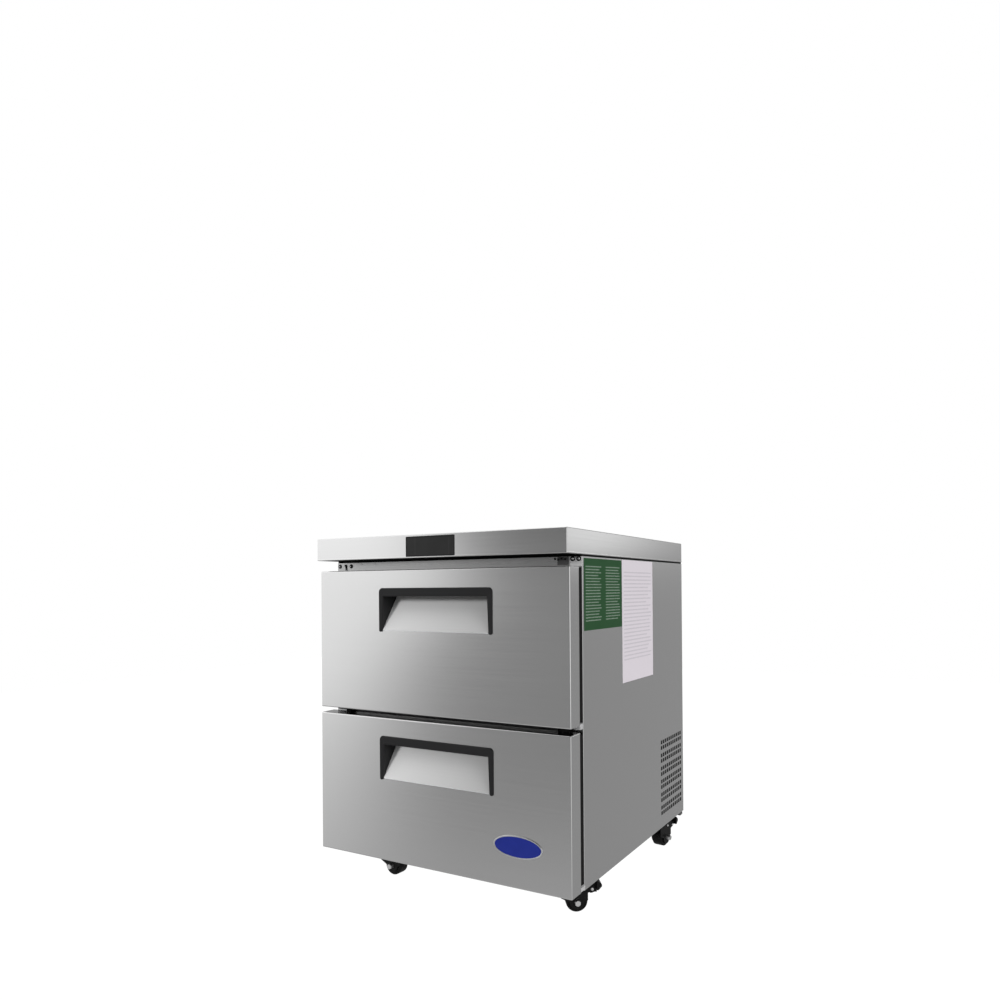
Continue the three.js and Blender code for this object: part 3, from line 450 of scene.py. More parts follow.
def thickSheet(points, inner, faces):
    # an open sheet, its inner side and the narrow faces between their borders
    count = len(points)
    edges = np.concatenate([faces, np.roll(faces, -1, 1)]).reshape(2, -1).T
    code = edges[:, 0] * count + edges[:, 1]
    border = edges[~np.isin(code, edges[:, 1] * count + edges[:, 0])]
    rim = np.column_stack([border, border[:, ::-1] + count])
    return np.concatenate([points, inner]), [faces, faces[:, ::-1] + count, rim]


def moved(part, x=0, y=0, z=0, turn=0):
    # a part turned about Z and moved
    points, faces = part
    c, s = math.cos(turn), math.sin(turn)
    return points @ [[c, s, 0], [-s, c, 0], [0, 0, 1]] + (x, y, z), faces


def makePiece(name, parts, body, finish, replaces=()):
    # joins parts given in millimetres, closes their seams and turns their faces outwards
    points, polygons, start = [], [], 0
    for part, faces in parts:
        points.append(part)
        for group in faces:
            polygons.extend((group + start).tolist())
        start += len(part)
    mesh = bpy.data.meshes.new(name)
    mesh.from_pydata((np.concatenate(points) * mm).tolist(), [], polygons)
    shell = bmesh.new()
    shell.from_mesh(mesh)
    bmesh.ops.remove_doubles(shell, verts=shell.verts, dist=seamReach)
    bmesh.ops.recalc_face_normals(shell, faces=shell.faces)
    shell.to_mesh(mesh)
    shell.free()
    mesh.polygons.foreach_set("use_smooth", np.ones(len(mesh.polygons), bool))
    mesh.set_sharp_from_angle(angle=math.radians(sharpDegrees))
    mesh.materials.append(finishes[finish])
    made = addObject(name, mesh)
    # large flat faces keep their own direction, so that only the bends look round
    even = made.modifiers.new("even", "WEIGHTED_NORMAL")
    even.keep_sharp = True
    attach(made, body)
    if replaces:
        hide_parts(*replaces)
    return made


worktop = {"halfX": 349.25, "halfY": 381, "top": 866, "foot": 811.5, "corner": 2.2, "leastCorner": 0.4,
           "bend": 2.2, "hemProud": 0.35, "hemHeight": 3, "hemLip": [(1, 1.2), (0.5, 0.5), (0, 0)],
           "hemSteps": 8, "sheet": 1.2, "fold": 2.6, "foldHeight": 9, "foldRise": 0.4, "underBend": 1}


def buildWorktop():
    # a section of inset and height, carried round a rectangle with small corners
    w = worktop
    face, wall, half, bend = w["hemProud"], w["hemProud"] + w["sheet"], w["fold"] / 2, w["underBend"]
    pull, drop = quarterBend(w["bend"], bendSteps)
    top = np.stack([face + pull, w["top"] - drop], -1)
    lip = [(face * share, w["foot"] + w["hemHeight"] + rise) for share, rise in w["hemLip"]]
    angle = arc(0, math.pi, w["hemSteps"])
    hem = np.stack([half - half * np.cos(angle), w["foot"] + half - half * np.sin(angle)], -1)
    fold, under = w["foot"] + w["foldHeight"], w["top"] - w["sheet"]
    inside = [(w["fold"], fold), (wall, fold + w["foldRise"]), (wall, under - bend), (wall + bend, under)]
    rings = []
    for inset, height in np.concatenate([top, lip, hem, inside]):
        corner = max(w["corner"] - inset, w["leastCorner"])
        flat = roundedRectangle(w["halfX"] - inset, w["halfY"] - inset, corner)
        rings.append(np.column_stack([flat, np.full(len(flat), height)]))
    makePiece("worktopSkin", [ringSurface(np.stack(rings))], "cabinet", "worktopSteel",
              ["worktop_skin"])


buildWorktop()
print("worktop made")

# backEdge and inner give the inset of each fold and its depth, behind the back edge and behind the face
drawer = {"halfX": 349, "height": 341, "face": -368.2, "depth": 44, "bend": 2.7, "corner": 2.2,
          "leastCorner": 0.35, "sheet": 1.2, "backEdge": [(0, -0.7), (0.15, -0.15), (0.6, 0), (1.2, -0.3)],
          "inner": [(1.2, 2.6), (2.4, 1.2)], "holeHalf": 149.7, "holeFoot": 195.6, "holeTop": 294.7,
          "holeCorner": 1, "bases": {"upper": 444.2, "lower": 89.6}}
gasket = {"halfX": 347.7, "foot": {"upper": 451.7, "lower": 104.6}, "top": {"upper": 782.4, "lower": 425.6},
          "flangeFront": -325.2, "flangeBack": -320.2, "flangeGap": 0.05, "back": -307, "overlap": 0.4,
          "width": 15, "soft": 1.2, "corner": 4, "leastCorner": 0.4}
handle = {"half": 160, "top": 298, "foot": 193, "corner": 9.5, "cornerSteps": 8, "mouth": 146.4,
          "mouthFoot": 149.2, "mouthTop": 277.4, "mouthCorner": 1.5, "proud": 2.8, "innerShare": 0.9,
          "outerRound": 2.6, "innerRound": 1.8, "footRound": 4, "innerSink": 1, "outerSink": 0.2}
pocket = {"front": 0.2, "depth": 51, "back": 52.5, "slopeFoot": 198, "wallHalf": 149.4, "roof": 291.4,
          "top": 294.4, "roofRound": 0.6, "barFront": -1, "barDepth": 9, "barRound": 1.8}
# the plate's front lip and its bend are given from the slope's foot and from its top
pocketPlate = {"thick": 1.5, "lip": [(0.1, -0.4), (0.5, 0.6)], "bend": [(-1.2, -1.8), (0, 1)],
               "lipBack": (0.3, -1.2), "roofGap": 0.4, "sideGap": 0.3}


def flatRing(outer, inner):
    # the flat surface between two rings
    triangles = tessellate_polygon([[Vector(point) for point in ring] for ring in (outer, inner)])
    return np.concatenate([outer, inner]), [np.array(triangles)]


def buildDrawerFront(label):
    # a folded pan: face, bend, side wall and back edge, with the sheet's thickness inside
    d = drawer
    half = d["height"] / 2
    face = np.stack(quarterBend(d["bend"], bendSteps), -1)
    section = np.concatenate([face, np.add(d["backEdge"], (0, d["depth"])), d["inner"]])
    rings = np.stack([uprightRing(d["halfX"] - i, half - i, max(d["corner"] - i, d["leastCorner"]), y, half)
                      for i, y in section])
    foot, top = d["holeFoot"], d["holeTop"]
    hole = np.stack([uprightRing(d["holeHalf"], (top - foot) / 2, d["holeCorner"], depth, (top + foot) / 2)
                     for depth in (0, d["sheet"])])
    parts = [ringSurface(rings, caps=False), ringSurface(hole, caps=False),
             flatRing(rings[0], hole[0]), flatRing(rings[-1], hole[1])]
    parts = [moved(part, 0, d["face"], d["bases"][label]) for part in parts]
    makePiece(label + "DrawerFront", parts, label + "_drawer", "drawerSteel",
              [label + "_front_skin"])


def buildGasket(label):
    # a flange behind the pan's back edge and a soft ring that meets the cabinet's front
    g, d = gasket, drawer
    base, inset, width = d["bases"][label], d["sheet"] + g["flangeGap"], g["width"]
    flange = (d["halfX"] - inset, base + inset, base + d["height"] - inset, g["flangeFront"], g["flangeBack"])
    ring = (g["halfX"], g["foot"][label], g["top"][label], g["flangeBack"] - g["overlap"], g["back"])
    parts = []
    for halfX, low, high, front, back in (flange, ring):
        section = softProfile([[0, front], [0, back], [width, back], [width, front]], g["soft"])
        rings = [uprightRing(halfX - i, (high - low) / 2 - i, max(g["corner"] - i, g["leastCorner"]), y,
                             (low + high) / 2) for i, y in section]
        parts.append(ringSurface(np.stack(rings), wrapRows=True))
    makePiece(label + "GasketRing", parts, label + "_drawer", "gasketRubber",
              [label + "_gasket"])


def archRings():
    # the section rises along a quarter circle at its outer edge, lies flat and falls at its inner edge;
    # it is carried up the left leg, over the bar and down the right leg, and narrows round each foot
    h = handle
    pull, lift = quarterBend(h["footRound"], bendSteps)
    turn = arc(math.pi, quarterTurn, h["cornerSteps"])

    def corner(half, top, radius):
        return np.column_stack([radius - half + radius * np.cos(turn), top - radius + radius * np.sin(turn)])

    outer = np.concatenate([np.column_stack([-h["half"] + pull, h["foot"] + lift]),
                            corner(h["half"], h["top"], h["corner"])])
    inner = np.concatenate([np.column_stack([-h["mouthFoot"] - pull, h["foot"] + lift]),
                            corner(h["mouth"], h["mouthTop"], h["mouthCorner"])])
    outer, inner = [np.concatenate([line, line[::-1] * (-1, 1)]) for line in (outer, inner)]
    width = np.linalg.norm(inner - outer, axis=1)[:, None]
    outerRound, innerRound = [np.minimum(h[key], width * roomShare) for key in ("outerRound", "innerRound")]
    rise = arc(0, quarterTurn, bendSteps)
    fall = rise[::-1]
    distance = np.concatenate([outerRound * (1 - np.cos(rise)), width - innerRound * (1 - np.cos(fall))], 1)
    height = h["proud"] * np.concatenate([np.sin(rise), h["innerShare"] * np.sin(fall)])
    flat = outer[:, None] + ((inner - outer) / width)[:, None] * distance[..., None]
    front = np.stack([flat[..., 0], np.broadcast_to(-height, flat.shape[:2]), flat[..., 1]], -1)
    back = np.stack([np.column_stack([line[:, 0], np.full(len(line), sink), line[:, 1]])
                     for line, sink in ((inner, h["innerSink"]), (outer, h["outerSink"]))], 1)
    return np.concatenate([front, back], 1)


def pocketWall(side):
    # the wall follows the slope, from the leg's tapering edge at its front to the pocket's back
    p, h = pocket, handle
    outline = np.array([[p["front"], p["slopeFoot"]], [p["depth"], h["mouthTop"]], [p["back"], h["mouthTop"]],
                        [p["back"], p["top"]], [p["front"], p["top"]]])
    taper = np.array([h["mouthFoot"]] + [h["mouth"]] * 4)
    innerFace = np.column_stack([side * taper, outline])
    outerFace = np.column_stack([np.full(len(outline), side * p["wallHalf"]), outline])
    return ringSurface(np.stack([innerFace, outerFace]))


def buildHandle(label):
    p, h, plate = pocket, handle, pocketPlate
    roof = softBox(p["front"], p["back"], p["roof"], p["top"], p["roofRound"])
    bar = softBox(p["barFront"], p["barDepth"], h["mouthTop"], p["top"], p["barRound"])
    parts = [ringSurface(archRings()), pocketWall(-1), pocketWall(1)]
    parts += [prism(outline, "x", -p["wallHalf"], p["wallHalf"]) for outline in (roof, bar)]
    place = (0, drawer["face"], drawer["bases"][label])
    makePiece(label + "HandleArch", [moved(part, *place) for part in parts], label + "_drawer",
              "blackPlastic", [label + "_handle_frame"])

    # the plate: a bent sheet from the face up the slope and up the pocket's back
    foot, top = p["slopeFoot"], h["mouthTop"]
    normal = np.array([top - foot, -p["depth"]]) / math.hypot(p["depth"], top - foot) * plate["thick"]
    front = np.concatenate([np.add(plate["lip"], (0, foot)), np.add(plate["bend"], (p["depth"], top)),
                            [(p["depth"], p["roof"] - plate["roofGap"])]])
    shift = np.array([plate["lipBack"], normal, normal, (plate["thick"], 0), (plate["thick"], 0)])
    profile = np.concatenate([front, (front + shift)[::-1]])
    ends = [h["mouthFoot"] - plate["sideGap"], h["mouth"] - plate["sideGap"]]
    width = np.interp(profile[:, 1], [foot, top], ends)
    rings = np.stack([np.column_stack([side * width, profile]) for side in (-1, 1)])
    makePiece(label + "HandlePlate", [moved(ringSurface(rings), *place)], label + "_drawer", "plateSteel",
              [label + "_handle_plate"])


for label in ("upper", "lower"):
    buildDrawerFront(label)
    buildGasket(label)
    buildHandle(label)
print("drawers made")

display = {"half": 69, "middle": 837.7, "halfHeight": 23.8, "rim": 4, "corner": 1.6, "cornerFall": 0.2,
           "face": -381, "round": 0.35, "roundSteps": 3, "sink": 1.5, "pane": 0.22, "paneBack": 1.4,
           "paneCorner": 0.9}


def buildDisplay():
    # a rim with a rounded section round the window, and a window just behind its face
    d = display
    back, pull = quarterBend(d["round"], d["roundSteps"])
    inset = np.concatenate([[0], pull, d["rim"] - pull[::-1], [d["rim"]]])
    depth = np.concatenate([[d["sink"]], back, back[::-1], [d["sink"]]])
    rings = [uprightRing(d["half"] - i, d["halfHeight"] - i, d["corner"] - i * d["cornerFall"], d["face"] + y,
                         d["middle"]) for i, y in zip(inset, depth)]
    makePiece("displayBezel", [ringSurface(np.stack(rings), wrapRows=True)], "cabinet", "blackPlastic",
              ["display_bezel"])
    pane = roundedRectangle(d["half"] - d["rim"], d["halfHeight"] - d["rim"], d["paneCorner"])
    pane += (0, d["middle"])
    makePiece("displayPane", [prism(pane, "y", d["face"] + d["pane"], d["face"] + d["paneBack"])], "cabinet",
              "displayGlass", ["display_window"])


buildDisplay()

panel = {"outside": 348.8, "inside": 348.5, "stile": 300, "front": -306.6, "stileBack": -294.6,
         "rear": 380, "foot": 90, "top": 807.2, "bend": 1.2, "rearBend": 0.6, "rearSteps": 4, "columns": 11,
         "fromRear": 20.4, "columnPitch": 16, "pairs": 6, "fromFoot": 33.7, "pairPitch": 35.2,
         "rowPitch": 14.9, "holeWidth": 11.4, "holeHeight": 10, "holeSlack": 0.1}


def buildSidePanel(name, side):
    # a plan line from the stile round the front bend to the rear bend, repeated at every height where a
    # hole starts or ends; the faces inside the holes are left out and the sheet is given its thickness
    p = panel
    sheet = p["outside"] - p["inside"]
    frontAngle, rearAngle = arc(-quarterTurn, 0, bendSteps), arc(0, quarterTurn, p["rearSteps"])
    column = p["rear"] - p["fromRear"] - np.arange(p["columns"]) * p["columnPitch"]
    holeY = np.sort(np.concatenate([column - p["holeWidth"], column]))
    frontMiddle = (p["outside"] - p["bend"], p["front"] + p["bend"])
    rearMiddle = (p["outside"] - p["rearBend"], p["rear"] - p["rearBend"])

    def bent(middle, radius, angle):
        return middle + radius * np.column_stack([np.cos(angle), np.sin(angle)])

    def planLine(pull):
        fold = np.array([[p["stile"] + pull, p["stileBack"]], [p["stile"] + pull, p["front"] + pull]])
        straight = np.column_stack([np.full(len(holeY), p["outside"] - pull), holeY])
        return np.concatenate([fold, bent(frontMiddle, p["bend"] - pull, frontAngle), straight,
                               bent(rearMiddle, p["rearBend"] - pull, rearAngle)])

    pairs = np.arange(p["pairs"])[:, None] * p["pairPitch"] + (0, p["rowPitch"])
    row = p["foot"] + p["fromFoot"] + pairs.ravel()
    height = np.sort(np.concatenate([[p["foot"]], row, row + p["holeHeight"], [p["top"]]]))
    outer, inner = planLine(0), planLine(sheet)
    rows, columns = len(height), len(outer)

    def raised(line):
        flat = np.broadcast_to(line, (rows, columns, 2))
        level = np.broadcast_to(height[:, None, None], (rows, columns, 1))
        return (np.concatenate([flat, level], -1) * (side, 1, 1)).reshape(-1, 3)

    points = raised(outer)
    faces = gridFaces(rows, columns, False, False)
    middle = points[faces].mean(1)
    nearY = np.abs(middle[:, 1, None] - (column - p["holeWidth"] / 2)).min(1) < p["holeSlack"]
    nearZ = np.abs(middle[:, 2, None] - (row + p["holeHeight"] / 2)).min(1) < p["holeSlack"]
    inHole = nearY & nearZ & (np.abs(middle[:, 0]) > p["inside"])
    makePiece(name + "Sheet", [thickSheet(points, raised(inner), faces[~inHole])], "cabinet", "panelSteel",
              [name])


buildSidePanel("right_side_panel", 1)
buildSidePanel("left_side_panel", -1)

cards = {
    "greenCard": {"y": (-299, -83.5), "z": (646, 804)},
    "whiteCard": {"y": (-81, 131), "z": (509.5, 806)},
}
cardSheet = {"wall": 348.8, "thick": 0.25, "sink": 0.05, "corner": 1.5}
plaque = {"x": 220, "z": 180, "halfX": 61, "halfZ": 25, "steps": 72, "face": -368.2, "proud": 1.9,
          "sink": 0.3, "rim": 3.2, "rimRound": 0.9, "rimFall": 0.55, "rimSteps": 4, "middleFall": 0.6,
          "dome": 0.35, "domeSteps": 6}


def centred(x, y, corner):
    # a rounded rectangle between two places on each of its axes
    outline = roundedRectangle((x[1] - x[0]) / 2, (y[1] - y[0]) / 2, corner)
    return outline + (sum(x) / 2, sum(y) / 2)


def buildCard(name):
    outline = centred(cards[name]["y"], cards[name]["z"], cardSheet["corner"])
    wall = cardSheet["wall"]
    card = prism(outline, "x", wall - cardSheet["sink"], wall + cardSheet["thick"])
    makePiece(name, [card], "cabinet", name)


def buildPlaque():
    # an oval with a raised round rim about a slightly domed middle
    p = plaque
    angle = arc(0, fullTurn, p["steps"])[:-1]
    pull, fall = quarterBend(1, p["rimSteps"])

    def rings(inset, height):
        inset, height = np.concatenate(inset), np.concatenate(height)
        x = p["x"] + (p["halfX"] - inset[:, None]) * np.cos(angle)
        z = p["z"] + (p["halfZ"] - inset[:, None]) * np.sin(angle)
        return np.stack([x, np.broadcast_to(p["face"] - height[:, None], x.shape), z], -1)

    inset = [[0], p["rimRound"] * fall, p["rim"] - p["rimRound"] * pull, [p["rim"]]]
    height = [[-p["sink"]], p["proud"] * (1 - pull), p["proud"] - p["rimFall"] * fall, [-p["sink"]]]
    makePiece("plaqueRim", [ringSurface(rings(inset, height), wrapRows=True)], "lower_drawer", "boltZinc")
    share = arc(0, 1, p["domeSteps"])[:-1]
    inset = [[p["rim"]], p["rim"] + (p["halfZ"] - p["rim"]) * share]
    height = [[-p["sink"]], p["proud"] - p["middleFall"] + p["dome"] * np.sin(share * quarterTurn)]
    makePiece("plaqueMiddle", [ringSurface(rings(inset, height))], "lower_drawer", "slateEnamel")


for name in cards:
    buildCard(name)
buildPlaque()
print("panels and plates made")

# the wheel's edges are steps of radius and height; pins are keyed by their place along and above the floor
caster = {"axleHeight": 25.183, "radius": 25.16, "halfWidth": 15, "round": 3.5, "tyre": 6.5, "web": 8,
          "hub": 9, "hubHalf": 17, "hubEdge": [(-1, 0), (0, 1)], "hubFoot": [(0.6, -0.6), (1.4, 0)],
          "rimFoot": [(-1.4, 0), (-0.6, -0.6)], "rimEdge": [(-0.4, 0.8), (0.6, 0.1), (1.2, 0.5), (1.8, 0)],
          "bore": 4.2, "steps": 64, "trail": 31, "cheek": 19.8, "boltRadius": 7, "boltProud": 11.4,
          "boltSteps": 48, "boltCone": [(-1.3, 1), (-0.2, 0.86), (0, 0.7)],
          "pins": {(66, 53): (3.7, 2.2), (37, 57): (3.5, 1.8)}}
casterPlaces = {
    "front_right": (255, -225, 35), "front_left": (-255, -225, -3),
    "rear_right": (296.3, 288, 82), "rear_left": (-296.3, 288, 98),
}
roundHead = {"steps": 24, "domeSteps": 6, "sink": 0.5}


def wheelProfile():
    # hub, web, rim and a tyre with round shoulders, as radius and height, closed
    c = caster
    rim = c["radius"] - c["tyre"]
    pull, rise = quarterBend(c["round"], bendSteps)
    crown = np.column_stack([c["radius"] - pull, -c["halfWidth"] + rise])
    edges = [np.add(steps, (radius, -height)) for radius, height, steps in
             ((c["hub"], c["hubHalf"], c["hubEdge"]), (c["hub"], c["web"], c["hubFoot"]),
              (rim, c["web"], c["rimFoot"]), (rim, c["halfWidth"], c["rimEdge"]))]
    lowerHalf = np.concatenate([[(c["bore"], -c["hubHalf"])], *edges, crown])
    return np.concatenate([lowerHalf, lowerHalf[::-1] * (1, -1)])


def hexBolt(side):
    # a six-sided head with its outer corners rounded off by a cone
    c, sixth = caster, fullTurn / 6
    angle = arc(0, fullTurn, c["boltSteps"])[:-1]
    sector = (angle + sixth / 2) % sixth - sixth / 2
    hexagon = c["boltRadius"] * math.cos(sixth / 2) / np.cos(sector)
    rings = []
    for level, share in [(0, 1)] + [(c["boltProud"] + step, share) for step, share in c["boltCone"]]:
        reach = np.minimum(c["boltRadius"] * share, hexagon)
        y = np.full(len(angle), side * (c["cheek"] + level))
        rings.append(np.column_stack([reach * np.cos(angle), y, reach * np.sin(angle)]))
    return ringSurface(np.stack(rings))


def headShape(radius, proud, side, dish=0.0):
    # a low round head with a dished middle, closed underneath and turned about Y
    t = arc(0, quarterTurn, roundHead["domeSteps"])
    dome = np.column_stack([radius * np.cos(t), proud * np.sin(t)])
    dome[-2:, 1] -= dish
    profile = np.concatenate([[(0, -roundHead["sink"]), (radius, -roundHead["sink"])], dome])
    return turnedSurface(profile * (1, side), roundHead["steps"])


def buildCaster(name):
    c = caster
    x, y, degrees = casterPlaces[name]
    turn = math.radians(degrees)
    wheel = moved(turnedSurface(wheelProfile(), c["steps"]), c["trail"], 0, c["axleHeight"])
    makePiece(name + ".wheel", [moved(wheel, x, y, 0, turn)], name + "_wheel", "wheelRubber",
              [name + "_caster_wheel"])
    heads = [moved(hexBolt(side), c["trail"], 0, c["axleHeight"]) for side in (-1, 1)]
    for (along, height), (radius, proud) in c["pins"].items():
        heads += [moved(headShape(radius, proud, side), along, side * c["cheek"], height) for side in (-1, 1)]
    makePiece(name + ".bolts", [moved(part, x, y, 0, turn) for part in heads], name + "_fork", "boltZinc")


for name in casterPlaces:
    buildCaster(name)
print("casters made")

rails = {"front": -306.6, "back": -294.6, "half": 299.7, "foot": 760, "top": 807.2, "edge": 0.6,
         "faceSpan": (-347.4, 318), "faceFoot": 786.4, "faceProud": 0.6, "faceSink": 0.2, "faceEdge": 0.3,
         "mullionFoot": 407, "mullionTop": 467, "mullionBack": -276.6, "innerHalf": 298.6, "overlap": 1,
         # black blocks at the mullion's ends and a thin black strip on the left: painted shade in the gap
         # between the drawers
         "shadeBlocks": {(-311, -298): (426, 448), (-340.6, -311): (433, 435.4),
                       (293, 321): (426, 448)}, "blockProud": 11.6, "blockSink": 0.3}
# the first block, low on the left, is a painted reflection of the tab above it in the lower drawer's top
tabs = {"blocks": {(-340.6, -311.2): (426.2, 432.7), (-340.6, -311.3): (435.7, 448.3),
                   (331, 347.6): (435.7, 448.3)}, "proud": 11.9, "sink": 0.2, "edge": 0.8,
        "cap": (338, 348.95), "capY": (-324, -303.5), "capZ": (91.6, 100.6),
        "cover": (319.2, 347.9), "coverZ": (786.4, 806.8), "coverProud": 0.7, "coverEdge": 0.4}
# a black sheet behind each panel's holes: painted shade for the dark inside
ventShadeSheet = {"x": (346.2, 347), "y": (182.5, 372), "z": (118, 330), "edge": 0.2, "corner": 0.3}
fitting = {"wall": -307.2, "sink": 0.2, "edge": 0.3, "left": [(-340, 798.5), (-302, 798.5)],
           "right": [(327, 802.4), (341.5, 802.4)], "headRadius": {"left": 2.2, "right": 3.2},
           "headProud": 2.4, "headLift": 0.8, "dish": 0.4,
           "dots": [(-267, 803), (-222, 803)], "dot": (1.6, 0.9),
           "studs": [(284, 803), (292, 801), (300, 803.5), (309, 802)], "stud": (2.6, 2.6),
           "washer": [(0, 0.3), (5.4, 0.3), (5.4, -0.7), (5, -1), (0, -1)],
           "plateX": (290, 317.4), "plateZ": (789, 806.6), "plateProud": 0.9}
# the hook's wire runs through the places of its line, with a radius at each
hook = {"x": -319, "z": 800, "plateX": (-324.5, -316.5), "plateProud": 1, "plateSink": 0.3,
        "plateZ": (798.4, 803.4), "steps": 10, "radius": [2.2, 2, 1.5, 1.2, 0.9, 0.5],
        "line": [(0, -0.6, 1), (0, -1.6, -1), (0, -1.9, -5), (0.6, -1.9, -9), (1, -2.4, -12),
                 (1, -2.8, -13.5)]}


def block(x, y, z, edge, corner=1.0):
    # a box between two places on each axis: corner rounds its front view, edge its front and back
    return prism(centred(x, z, corner), "y", y[0], y[1], edge)


def mirrored(span, side):
    return span if side > 0 else (-span[1], -span[0])


def buildRails():
    # the top rail with its wider face, and the mullion with a black block at each end; these blocks, which
    # also cover the mullion's own end blocks, and a thin black strip on the left are painted shade for the
    # deep gap between the drawers
    r = rails
    front, back, edge, across = r["front"], r["back"], r["edge"], (-r["half"], r["half"])
    face = block(r["faceSpan"], (front - r["faceProud"], front + r["faceSink"]), (r["faceFoot"], r["top"]),
                 r["faceEdge"])
    # the top rail's steel is darker as painted shade from the worktop above it
    makePiece("topRail", [block(across, (front, back), (r["foot"], r["top"]), edge), face], "cabinet",
              "shadedRailSteel", ["top_rail"])
    height = (r["mullionFoot"], r["mullionTop"])
    middle = [block(across, (front, back), height, edge),
              block((-r["innerHalf"], r["innerHalf"]), (back - r["overlap"], r["mullionBack"]), height, edge)]
    makePiece("mullionBody", middle, "cabinet", "darkSteel", ["mullion"])
    depth = (front - r["blockProud"], front + r["blockSink"])
    # painted shade: black blocks where the gap between the drawers is in deep shade
    ends = [block(x, depth, z, edge) for x, z in r["shadeBlocks"].items()]
    makePiece("mullionEndShade", ends, "cabinet", "gasketRubber")


def buildTabs():
    # light blocks on the stiles between the drawers, caps round the stiles' feet and a cover at the top
    # right; the lowest light block on the left is a painted reflection of the tab above it in the lower
    # drawer's top
    t, wall = tabs, rails["front"]
    parts = [block(x, (wall - t["proud"], wall + t["sink"]), z, t["edge"]) for x, z in t["blocks"].items()]
    parts += [block(mirrored(t["cap"], side), t["capY"], t["capZ"], t["edge"]) for side in (-1, 1)]
    makePiece("stileTabsAndPaintedLight", parts, "cabinet", "sleevePlastic")
    cover = block(t["cover"], (wall - t["coverProud"], wall + t["sink"]), t["coverZ"], t["coverEdge"])
    makePiece("stileCover", [cover], "cabinet", "paleCover")


def buildVentShadeSheets():
    # a thin black sheet close behind the holes of each side panel: painted shade that stands in for the dark
    # inside the cabinet
    v = ventShadeSheet
    parts = [block(mirrored(v["x"], side), v["y"], v["z"], v["edge"], v["corner"]) for side in (-1, 1)]
    makePiece("ventShadeSheets", parts, "cabinet", "screwBlack")


def buildFittings():
    f = fitting

    def screw(x, z, radius, proud, lift=0):
        return moved(headShape(radius, proud, -1, f["dish"]), x, f["wall"] - lift, z)

    washer = turnedSurface(np.array(f["washer"]), roundHead["steps"])
    washers = [moved(washer, x, f["wall"], z) for x, z in f["left"] + f["right"]]
    heads = [screw(x, z, f["headRadius"][side], f["headProud"], f["headLift"])
             for side in ("right", "left") for x, z in f[side]]
    dots = [screw(x, z, *f["dot"]) for x, z in f["dots"]]
    studs = [screw(x, z, *f["stud"]) for x, z in f["studs"]]
    depth = (f["wall"] - f["plateProud"], f["wall"] + f["sink"])
    # a dark plate among the studs at the rail's right end: partly a bracket, partly painted shade that
    # darkens that end of the rail
    makePiece("railBracketShade", [block(f["plateX"], depth, f["plateZ"], f["edge"])], "cabinet", "bracketShadePaint")
    makePiece("screwWashers", washers + studs, "cabinet", "screwBlack")
    makePiece("screwHeads", heads + dots, "cabinet", "boltZinc")


def buildHook():
    # a small plate with a tapered wire that hangs from it
    h, wall = hook, fitting["wall"]
    line = np.array(h["line"])
    along = np.gradient(line, axis=0)
    along /= np.linalg.norm(along, axis=1)[:, None]
    aside = np.broadcast_to((1.0, 0, 0), line.shape)
    up = np.cross(aside, along)
    angle = arc(0, fullTurn, h["steps"])[:-1]
    turned = aside[:, None] * np.cos(angle)[:, None] + up[:, None] * np.sin(angle)[:, None]
    wire = ringSurface(line[:, None] + np.array(h["radius"])[:, None, None] * turned)
    plate = block(h["plateX"], (wall - h["plateProud"], wall + h["plateSink"]), h["plateZ"], fitting["edge"])
    makePiece("hook", [plate, moved(wire, h["x"], wall, h["z"])], "cabinet", "screwBlack")


buildRails()
buildTabs()
buildVentShadeSheets()
buildFittings()
buildHook()
print("fittings made")

# the nodes that keep the model's shape: by name, or else by a word in the name; the others are blackPlastic
nameFinish = {
    "coreBoard": ["worktop_board"],
    "panelSteel": ["bottom_rail"],
    "galvanised": ["back_panel", "rear_grille", "base_pan", "compartment_partition"],
    "foam": ["foam_insulation"],
    "linerAluminium": ["inner_liner", "evaporator_housing"],
    "finAluminium": ["evaporator_coil", "condenser"],
    "blackPaint": ["compressor", "fan_motor", "evaporator_fan_motor"],
}
wordFinish = {"slide": "galvanised", "brake_lever": "leverPlastic", "front_inner": "linerPlastic",
              "pan_rack": "rackSteel", "caster_plate": "blackPaint", "caster_fork": "blackPaint"}
softEdge = {"default": 0.5, "evaporator_coil": 0, "condenser": 0, "inner_liner": 0,
            "foam_insulation": 0, "rear_grille": 0.3}
dressing = {"weld": 1e-5, "flatDegrees": 1, "edgeDegrees": 32, "segments": 2}


def finishOf(name):
    for finish, names in nameFinish.items():
        if name in names:
            return finish
    for word, finish in wordFinish.items():
        if word in name:
            return finish
    return "blackPlastic"


def dressNode(name, node):
    # merges the model's triangles into flat faces, rounds their edges and gives them a finish
    finish = finishes[finishOf(name)]
    if node.material_slots:
        for slot in node.material_slots:
            slot.material = finish
    else:
        node.data.materials.append(finish)
    width = softEdge.get(name, softEdge["default"])
    if width:
        weld = node.modifiers.new("weld", "WELD")
        weld.merge_threshold = dressing["weld"]
        flat = node.modifiers.new("flat", "DECIMATE")
        flat.decimate_type = "DISSOLVE"
        flat.angle_limit = math.radians(dressing["flatDegrees"])
        soft = node.modifiers.new("soft", "BEVEL")
        soft.width = width * mm
        soft.segments = dressing["segments"]
        soft.limit_method = "ANGLE"
        soft.angle_limit = math.radians(dressing["edgeDegrees"])
        soft.harden_normals = True


for name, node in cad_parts.items():
    if not node.hide_render:
        dressNode(name, node)
print("kept pieces dressed")

